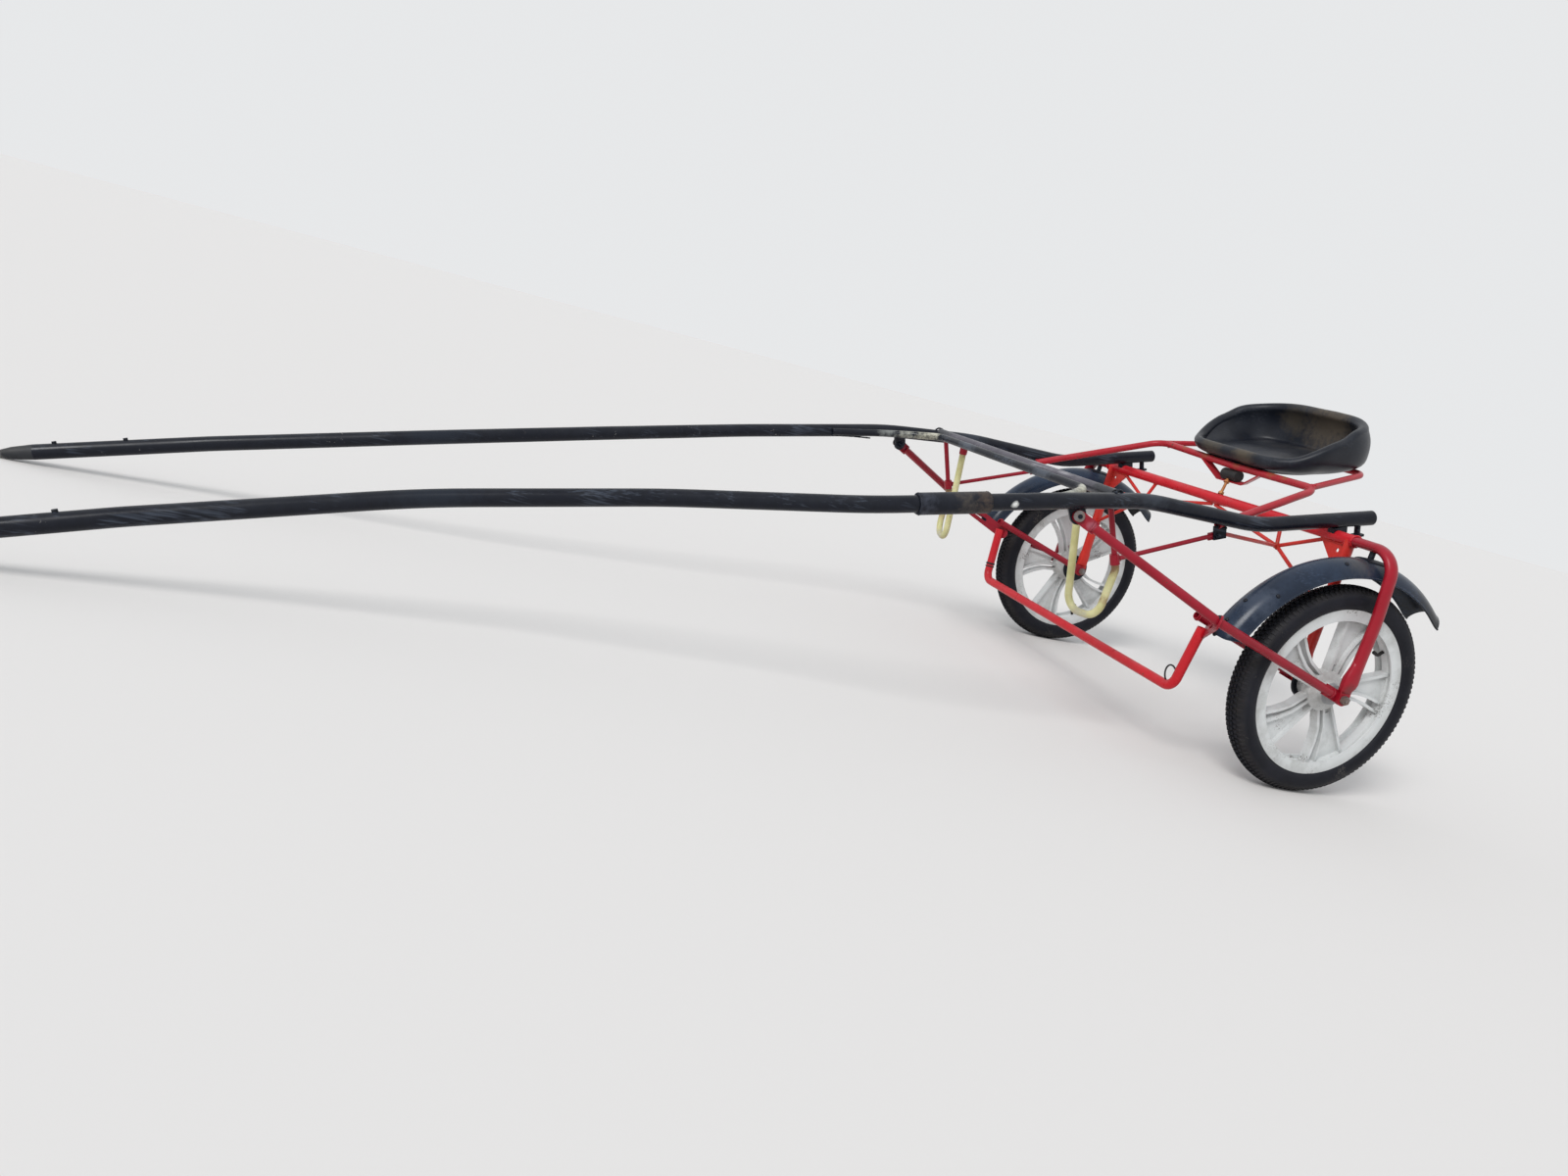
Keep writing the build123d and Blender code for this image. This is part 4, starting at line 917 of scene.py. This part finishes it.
def seat_outline(height, inset):
    """Points and outward ways round the bucket at a height, pulled in by the inset."""
    deep, wide, corner, shift = seat_sizes(height)
    points = []
    for turn_by in range(4):
        mid = math.radians(45 + 90 * turn_by)
        cx = math.copysign(deep / 2 - corner, math.cos(mid))
        cy = math.copysign(wide / 2 - corner, math.sin(mid))
        for step in range(corner_steps):
            angle = math.radians(90 * turn_by + 90 * step / (corner_steps - 1))
            out = Vector((math.cos(angle), math.sin(angle), 0))
            points.append((Vector((cx, cy, 0)) + out * corner, out))
    full = []
    for index, (point, out) in enumerate(points):
        full.append((point, out))
        if index % corner_steps == corner_steps - 1:
            next_point = points[(index + 1) % len(points)][0]
            for step in range(1, side_steps + 1):
                full.append((point.lerp(next_point, step / (side_steps + 1)), out))
    place = Vector((seat_middle + shift, 0, height))
    return [(place + point - out * inset, out) for point, out in full]


def soft_least(a, b, blend):
    """The smaller of two heights, rounded over where they cross."""
    return -blend * math.log(math.exp(-a / blend) + math.exp(-b / blend))


def rim_height(x, y):
    """How high the roll stands: low in front, rising along the sides, crowned at the back."""
    first, second, third = rim_slope_x
    slope = (rim_bend - rim_front) / (first - second)
    rising = rim_front + (first - x) * slope
    back = rim_bend + (second - x) * (rim_back - rim_bend) / (second - third)
    side = soft_least(rising, back, side_blend)
    side = -soft_least(-side, -rim_front, side_blend)
    crown = rim_back - (rim_crown_r - math.sqrt(rim_crown_r ** 2 - y * y))
    return soft_least(side, crown, crown_blend)


def seat_bucket(finish):
    """Rings of points from the middle of the underside, up outside, over the roll and down inside."""
    around = len(seat_outline(0.0, 0.0))
    tops = [rim_height(point.x, point.y) - roll_r for point, out in seat_outline(0.100, 0.0)]
    middle = Vector((seat_middle, 0, 0))
    belly = Vector((seat_middle + belly_forward, 0, -belly_deep))
    rows = []
    base = [point for point, out in seat_outline(0.0, 0.0)]
    for share in (0.25, 0.55, 0.82):
        rows.append([belly + (point - middle) * share for point in base])
    rows.append([belly.lerp(middle, 0.35) + (point - middle) * 0.94 for point in base])
    for share in (0.0, 0.08, 0.2, 0.36, 0.54, 0.72, 0.88, 1.0):
        rows.append([seat_outline(tops[index] * share, 0.0)[index][0] for index in range(around)])
    centres = [seat_outline(tops[index], roll_in)[index] for index in range(around)]
    for angle in (160, 130, 100, 70, 40, 10, -20):
        across, rise = math.cos(math.radians(angle)), math.sin(math.radians(angle))
        rows.append([point - out * (roll_r * across) + Vector((0, 0, roll_r * rise))
                     for point, out in centres])
    slopes = []
    for point, out in seat_outline(floor_high, 0.0):
        ahead = 0.5 + 0.5 * max(-1.0, min(1.0, (point.x - seat_middle) / slope_reach))
        slopes.append(slope_back + (slope_front - slope_back) * ahead * ahead)
    for share in (0.88, 0.72, 0.54, 0.36, 0.20, 0.08, 0.0):
        row = []
        for index in range(around):
            height = floor_high + (tops[index] - floor_high) * share
            inset = wall_top + (slopes[index] - wall_top) * (1.0 - share) ** slope_ease
            row.append(seat_outline(height, inset)[index][0])
        rows.append(row)
    inside = rows[-1]
    for share, swell in ((0.94, -0.0012), (0.84, 0.0010), (0.68, 0.0034), (0.46, 0.0046), (0.22, 0.0050)):
        low_middle = Vector((seat_middle, 0, floor_high + swell))
        rows.append([low_middle + (Vector((point.x, point.y, 0)) - middle) * share for point in inside])
    verts = [belly] + [point for row in rows for point in row]
    verts.append(Vector((seat_middle, 0, floor_high + crown_rise)))
    faces = [(0, 1 + (index + 1) % around, 1 + index) for index in range(around)]
    faces += bands(len(rows), around, 1)
    last = 1 + (len(rows) - 1) * around
    faces += [(last + index, last + (index + 1) % around, len(verts) - 1) for index in range(around)]
    placed = []
    for point in verts:
        uneven = mathutils.noise.noise(point * lumps_close) * lumps_high
        placed.append(at(*on_seat(point.x, point.y, point.z + uneven)))
    made = skin("seat_bucket", placed, faces, finish)
    outwards(made.data)
    smooth = made.modifiers.new("rounded", "SUBSURF")
    smooth.levels = smooth.render_levels = 1
    return made


seat_dust_and_highlight = [
    # place in the seat's own frame, radius, colour
    ((-0.285, 0.01, 0.090), 0.095, (0.065, 0.052, 0.040)),
    ((-0.290, 0.06, 0.105), 0.060, (0.080, 0.064, 0.048)),
    ((-0.290, -0.10, 0.090), 0.060, (0.050, 0.042, 0.034)),
    ((0.018, 0.06, 0.036), 0.050, (0.070, 0.056, 0.040)),
    ((0.014, -0.07, 0.040), 0.055, (0.055, 0.046, 0.036)),
    # The last spot is a painted bluish highlight on the floor of the bowl.
    ((-0.10, 0.05, 0.024), 0.050, (0.030, 0.032, 0.038)),
]


def seat_plastic():
    """Soft black plastic with a fine pebble, tinted blue as a painted sheen, browned with dust on the back
    wall and the front, with a painted highlight on its floor.
    """
    made, tree, shader, place = material("seat_plastic", (0.02, 0.02, 0.025), Specular_IOR_Level=0.24)
    clouds = noise(tree, place, 11.0, 5.0, 0.6)
    dust = effect(tree, settled_dust, place, Scale=16.0, Amount=0.22)
    specks = effect(tree, paint_chips, place, Scale=330.0, Patches=10.0, Amount=1.2)
    lines = effect(tree, scuffs, place, Along=60.0, Across=240.0, Amount=0.4)
    # Both tones are tinted blue as a painted sheen of the sky.
    base = layer(tree, ramp(tree, clouds, 0.38, 0.66), (0.007, 0.009, 0.015), (0.015, 0.018, 0.026))
    base = layer(tree, lines.outputs["Scuffs"], base, (0.045, 0.050, 0.060))
    base = layer(tree, specks.outputs["Chips"], base, (0.075, 0.062, 0.048))
    base = layer(tree, dust.outputs["Dust"], base, (0.080, 0.072, 0.066))
    spots = [(tuple(on_seat(*spot)), radius, colour, False) for spot, radius, colour in seat_dust_and_highlight]
    base = stained(tree, place, base, spots)
    shine = ramp(tree, clouds, 0.3, 0.7, 0.30, 0.46)
    pebble = noise(tree, place, 520.0, 3.0, 0.6)
    finish_with(tree, shader, base, shine, pebble, 0.0005, 0.35)
    return made


seat = seat_bucket(seat_plastic())
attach(seat, "frame")
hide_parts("seat")

# Wheels. Cast alloy wheels of a small motorcycle, five forked spokes each, painted white by hand.
# Road dirt greys them in specks, thickest by the hub; by the rim they darken with dirt and painted shade
# where the tyre meets it, and the hub's face is bare grey metal.


def out_from_axle(tree, place):
    """How far a point is from the wheels' axle."""
    offset = node(tree, "ShaderNodeVectorMath", {"operation": "SUBTRACT"}, i0=place,
                  i1=(axle_x, 0.0, axle_height))
    flat_on = node(tree, "ShaderNodeVectorMath", {"operation": "MULTIPLY"}, i0=offset.outputs[0],
                   i1=(1.0, 0.0, 1.0))
    out = node(tree, "ShaderNodeVectorMath", {"operation": "LENGTH"}, i0=flat_on.outputs[0])
    return out.outputs["Value"]


def white_casting():
    """Hand-brushed white, smeared and specked with road dirt towards the hub, and darker by the rim with
    dirt and painted shade.
    """
    made, tree, shader, place = material("white_wheel", (0.74, 0.76, 0.80), Specular_IOR_Level=0.5,
                                         Coat_Weight=0.2, Coat_Roughness=0.25)
    out = out_from_axle(tree, place)
    specks = effect(tree, paint_chips, place, Scale=240.0, Patches=13.0, Amount=1.5).outputs["Chips"]
    smear = ramp(tree, noise(tree, place, 17.0, 7.0, 0.7), 0.50, 0.72, 0.0, 0.75)
    # By the rim the white darkens with road dirt and painted shade where the tyre meets it.
    rim_dirt_and_shade = maths(tree, "MULTIPLY", ramp(tree, out, 0.188, 0.206, 0.0, 0.55),
                   noise(tree, place, 60.0, 6.0, 0.7))
    by_hub = maths(tree, "MULTIPLY", ramp(tree, out, 0.085, 0.045, 0.0, 0.9),
                   noise(tree, place, 70.0, 6.0, 0.7))
    bare = ramp(tree, out, 0.0275, 0.0265, 0.0, 0.9)
    base = layer(tree, noise(tree, place, 24.0), (0.55, 0.565, 0.565), (0.67, 0.68, 0.67))
    base = layer(tree, smear, base, (0.36, 0.365, 0.345))
    base = layer(tree, rim_dirt_and_shade, base, (0.20, 0.19, 0.175))
    base = layer(tree, by_hub, base, (0.22, 0.20, 0.18))
    base = layer(tree, specks, base, (0.22, 0.21, 0.20))
    base = layer(tree, bare, base, (0.24, 0.24, 0.25))
    finish_with(tree, shader, base, ramp(tree, smear, 0.0, 1.0, 0.30, 0.6), noise(tree, place, 55.0),
                0.0008, 0.3)
    return made


wear(both_sides("wheel"), white_casting())
cap_paint = black_paint("cap_paint", scuffed=0.25, rough=0.42, bump=0.5)
wear(both_sides("hub_cap"), cap_paint)

# Tyres. Moped tyres with a smooth sidewall and a tread of small square blocks in six rows, their rows
# staggered. Dust lies in the grooves and greys the sidewall.
tread_pitches, ring_pitch = 120, 0.0032
block_sunk, block_edge, right_stagger = 0.0005, 0.0007, 0.25
crown_r, crown_middle, carcass_top = 0.03625, 0.22375, 0.25555
carcass_section = [
    # radius, half width
    (0.1975, 0.0150), (0.1985, 0.0218), (0.2068, 0.0224), (0.2085, 0.0262), (0.2130, 0.0297),
    (0.2190, 0.0319), (0.2255, 0.0329), (0.2320, 0.0328), (0.2385, 0.0312), (0.2430, 0.0292),
    (0.2462, 0.0266), (0.2500, 0.0215), (0.2530, 0.0155), (0.2550, 0.0085),
]
lining_section = [
    # radius, to the left
    (0.2025, -0.0135), (0.2200, -0.0230), (0.2400, -0.0180), (0.2480, 0.0), (0.2400, 0.0180),
    (0.2200, 0.0230), (0.2025, 0.0135),
]
tread_rows = [
    # from and to round the crown in degrees, share of the pitch, stagger, height
    (2.5, 12.5, 0.60, 0.0, 0.0050),
    (16.5, 28.0, 0.56, 0.5, 0.0050),
    (32.5, 52.0, 0.50, 0.0, 0.0052),
]


def tread_pitch():
    """The six blocks of one pitch of tread at the top of a wheel, as a loose mesh."""
    pitch = 2 * math.pi / tread_pitches
    verts, faces = [], []
    for side in (1, -1):
        for low, high, share, stagger, tall in tread_rows:
            shift = (stagger + (right_stagger if side < 0 else 0.0)) * pitch
            first = len(verts)
            for lift, shrink in ((-tall - block_sunk, 0.0), (-block_edge, 0.05), (0.0, 0.14)):
                for across, along in ((0, 0), (1, 0), (1, 1), (0, 1)):
                    grown = shrink * (high - low) / 2
                    angle = math.radians((high - grown) if across else (low + grown)) * side
                    half = pitch * share / 2 * (1.0 - shrink)
                    turned = shift + (half if along else -half)
                    radius = crown_middle + (crown_r + lift) * math.cos(angle)
                    out = (crown_r + lift) * math.sin(angle)
                    verts.append(Vector((radius * math.sin(turned), out, radius * math.cos(turned))))
            faces += bands(3, 4, first)
            faces.append((first + 8, first + 9, first + 10, first + 11))
    mesh = new_mesh("tread_pitch", verts, [], faces)
    tidy = bmesh.new()
    tidy.from_mesh(mesh)
    bmesh.ops.recalc_face_normals(tidy, faces=tidy.faces)
    tops = [face for face in tidy.faces if face.calc_center_median().z > 0.2]
    if sum(face.normal.z for face in tops) < 0:
        bmesh.ops.reverse_faces(tidy, faces=tidy.faces)
    tidy.to_mesh(mesh)
    tidy.free()
    return mesh


def tread_tree():
    """Sets a pitch of tread round the tyre and moves the whole to its wheel's place."""
    tree, given, out = new_tree("tread_round_the_tyre", {"Pitches": int, "Pitch": "object", "Out": float,
                                                         "Start": float, "Finish": "material"})
    spots = node(tree, "GeometryNodePoints", Count=given["Pitches"])
    number = node(tree, "GeometryNodeInputIndex")
    step = maths(tree, "DIVIDE", 2 * math.pi, given["Pitches"])
    turned = maths(tree, "MULTIPLY_ADD", number.outputs[0], step, given["Start"])
    about_y = node(tree, "ShaderNodeCombineXYZ", Y=turned)
    block = node(tree, "GeometryNodeObjectInfo", Object=given["Pitch"])
    blocks = node(tree, "GeometryNodeInstanceOnPoints", Points=spots.outputs[0],
                  Instance=block.outputs["Geometry"], Rotation=about_y.outputs[0])
    joined = node(tree, "GeometryNodeJoinGeometry")
    tree.links.new(blocks.outputs[0], joined.inputs[0])
    tree.links.new(given["Geometry"], joined.inputs[0])
    far = node(tree, "ShaderNodeCombineXYZ", X=axle_x, Y=given["Out"], Z=axle_height)
    real = node(tree, "GeometryNodeRealizeInstances", Geometry=joined.outputs[0])
    moved = node(tree, "GeometryNodeTransform", Geometry=real.outputs[0], Translation=far.outputs[0])
    ends(tree, moved.outputs[0], given["Finish"], out)
    return tree


def tyre_rubber():
    """Black rubber with fine moulded rings on the sidewall and soil between the tread blocks."""
    made, tree, shader, place = material("tyre_rubber", (0.02, 0.02, 0.02), Specular_IOR_Level=0.16)
    out = out_from_axle(tree, place)
    clouds = noise(tree, place, 16.0, 5.0, 0.65)
    fade = ramp(tree, clouds, 0.38, 0.68)
    grooves = ramp(tree, out, 0.2545, 0.2585, 0.22, 0.0)
    shoulder = ramp(tree, out, 0.236, 0.247)
    crumbs = ramp(tree, noise(tree, place, 30.0, 5.0, 0.7), 0.35, 0.65, 0.25, 1.0)
    soil = maths(tree, "MULTIPLY", maths(tree, "MULTIPLY", grooves, shoulder), crumbs)
    specks = effect(tree, paint_chips, place, Scale=300.0, Patches=12.0, Amount=1.3)
    base = layer(tree, fade, (0.0060, 0.0064, 0.0100), (0.0135, 0.0140, 0.0195))
    base = layer(tree, soil, base, (0.085, 0.075, 0.063))
    base = layer(tree, ramp(tree, out, 0.219, 0.206, 0.0, 0.5), base, (0.020, 0.020, 0.025))
    base = layer(tree, specks.outputs["Chips"], base, (0.06, 0.055, 0.05))
    moulded = maths(tree, "SINE", maths(tree, "MULTIPLY", out, 2 * math.pi / ring_pitch))
    height = maths(tree, "MULTIPLY", moulded, ramp(tree, out, 0.239, 0.235))
    finish_with(tree, shader, base, ramp(tree, clouds, 0.3, 0.7, 0.48, 0.66), height, 0.0003, 0.5)
    return made


rubber_finish = tyre_rubber()
pitch_object = bpy.data.objects.new("tread_pitch", tread_pitch())
tread_round = tread_tree()
track_half = 0.567
for side, out_by, start in (("left", track_half, 0.0), ("right", -track_half, 0.02)):
    section = carcass_section + [(carcass_top, 0.0)]
    section += [(radius, -half) for radius, half in reversed(carcass_section)] + lining_section
    tyre = lathe("moped_tyre_" + side, (0, 0, 0), (0, 1, 0), section, rubber_finish, count=144)
    grow(tyre, tread_round, Pitches=tread_pitches, Pitch=pitch_object, Out=out_by, Start=start,
         Finish=rubber_finish)
    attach(tyre, "wheel_assembly_" + side)
    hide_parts("tyre_" + side)
bpy.data.objects.remove(pitch_object)

# Valves. Black rubber stems that come through the rim and are bent over towards the spokes, each with a
# small faceted cap screwed on its end.
rim_inside, stem_r, cap_over = 0.186, 0.0042, 0.002
stem_bend = [
    # towards the hub, along the rim, outboard
    (0.0, 0.0, 0.0), (0.010, 0.0, 0.0), (0.018, 0.001, 0.002), (0.025, 0.007, 0.004),
    (0.029, 0.014, 0.005),
]
cap_section = [(0.0010, 0.0), (0.0040, 0.0), (0.0046, 0.001), (0.0046, 0.007), (0.0038, 0.0085),
               (0.0010, 0.009)]
for side in ("left", "right"):
    low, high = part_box("valve_" + side)
    middle = (low + high) / 2
    hub = Vector((axle_x, middle.y, axle_height))
    inward = (hub - middle).normalized()
    aside = Vector((0, 1, 0)).cross(inward)
    root = hub - inward * rim_inside
    outboard = Vector((0, math.copysign(1.0, middle.y), 0))
    bend = [root + inward * a - aside * b + outboard * c for a, b, c in stem_bend]
    stem = strand("valve_stem_" + side, bend, stem_r, bush_rubber, round_by=12)
    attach(stem, "wheel_assembly_" + side)
    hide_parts("valve_" + side)
    cap_way = (bend[-1] - bend[-2]).normalized()
    cap = lathe("valve_cap_" + side, bend[-1] - cap_way * cap_over, cap_way, cap_section, bush_rubber,
                count=12, smooth=False)
    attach(cap, "wheel_assembly_" + side)

# Mudguards. Pressed plastic guards with rolled lips, blue-black and dusty, hung under the fork legs on
# small saddles, with their tails flicked out.
# Two paler patches on the top of each guard and a dark one over its tail.
guard_patches = [((0.215, 0.590, 0.530), 0.050, (0.040, 0.052, 0.078), True),
              ((-0.060, 0.590, 0.580), 0.050, (0.050, 0.050, 0.058), True),
              ((-0.300, 0.600, 0.400), 0.130, (0.014, 0.014, 0.016), True)]
guard_plastic = plastic("guard_plastic", (0.009, 0.016, 0.032), (0.021, 0.036, 0.066), 0.20, guard_patches,
                        grain=240.0, relief=0.15, dusty=0.22, dust=(0.085, 0.10, 0.13))
wear(both_sides("mudguard"), guard_plastic)
stay_paint = black_paint("stay_paint", scuffed=0.2, rough=0.4, bump=0.5)
wear(both_sides("guard_stay"), stay_paint)

# Bolts. Small domed screws hold the mudguards to their stays, hex bolts with washers clamp the straps at
# the bend of each brace, and a pale washer sits on the bolt at the top of each brace.


def head(name, rings, centre, sides):
    """A bolt head of unit size, standing on the XY plane: rings of radius and height, then its top."""
    verts, faces = [], []
    for radius, high in rings:
        for angle in angles(sides):
            verts.append(Vector((radius * math.cos(angle), radius * math.sin(angle), high)))
    faces += bands(len(rings), sides)
    verts.append(Vector((0, 0, centre)))
    last = (len(rings) - 1) * sides
    faces += [(last + index, last + (index + 1) % sides, len(verts) - 1) for index in range(sides)]
    return bpy.data.objects.new(name, new_mesh(name, verts, [], faces))


def bolt_tree():
    """Sets a head on every point, along its 'way' and as large as its 'size'."""
    tree, given, out = new_tree("heads_on_points", {"Head": "object", "Finish": "material"})
    along, size = named(tree, "FLOAT_VECTOR", "way"), named(tree, "FLOAT", "size")
    turned = node(tree, "FunctionNodeAlignRotationToVector", {"axis": "Z"}, Vector=along)
    shape = node(tree, "GeometryNodeObjectInfo", Object=given["Head"])
    scale = node(tree, "ShaderNodeCombineXYZ", X=size, Y=size, Z=size)
    heads = node(tree, "GeometryNodeInstanceOnPoints", Points=given["Geometry"],
                 Instance=shape.outputs["Geometry"], Rotation=turned.outputs[0], Scale=scale.outputs[0])
    ends(tree, heads.outputs[0], given["Finish"], out)
    return tree


heads_on_points = bolt_tree()


def bolts(name, shape, body, finish, places):
    """Heads at places given for the left side, with their twins on the right: place, way, size."""
    verts, ways, sizes = [], [], []
    for (x, y, z), (a, b, c), size in places:
        for side in (1, -1):
            verts.append(at(x, y * side, z))
            ways += tuple(way(a, b * side, c).normalized())
            sizes.append(size)
    mesh = new_mesh(name, verts, [], [])
    mesh.attributes.new("way", "FLOAT_VECTOR", "POINT").data.foreach_set("vector", ways)
    mesh.attributes.new("size", "FLOAT", "POINT").data.foreach_set("value", sizes)
    piece = stand(name, mesh)
    grow(piece, heads_on_points, Head=shape, Finish=finish)
    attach(piece, body)


domed = head("domed_head", [(1.0, -0.15), (1.0, 0.10), (0.88, 0.36), (0.62, 0.56), (0.32, 0.66)], 0.70, 14)
hexed = head("hex_head", [(1.0, -0.1), (1.0, 0.62), (0.86, 0.74)], 0.74, 6)
washer = head("washer", [(1.45, -0.12), (1.45, 0.14), (1.38, 0.18)], 0.18, 18)
guard_screws = [((0.2309, 0.5666, 0.5286), (0.55, 0.0, 0.84), 0.0052),
                ((0.1743, 0.6029, 0.5391), (0.26, 0.78, 0.57), 0.0050),
                ((-0.0170, 0.5934, 0.5779), (-0.09, 0.59, 0.80), 0.0050),
                ((0.2789, 0.5674, 0.4922), (0.67, 0.0, 0.75), 0.0056),
                ((0.3083, 0.5669, 0.4631), (0.74, 0.0, 0.68), 0.0056)]
strap_bolts = [(tuple(kink_at + strap_way * 0.020 + Vector((0.0, 0.0, 0.0025))), (0.35, 0.1, 0.93), 0.0062),
               ((0.3490, 0.6300, 0.5290), (0.45, 0.25, 0.86), 0.0060)]
shaft_washers = [((0.6145, 0.5035, 0.7720), (0.25, 0.94, 0.24), 0.0085)]
bolts("guard_screws", domed, "frame", stay_paint, guard_screws)
bolts("strap_bolts", hexed, "frame", stay_paint, strap_bolts)
bolts("strap_washers", washer, "frame", axle_steel, strap_bolts)
bolts("shaft_washers", washer, "frame", axle_steel, shaft_washers)
for spare in (domed, hexed, washer):
    bpy.data.objects.remove(spare)
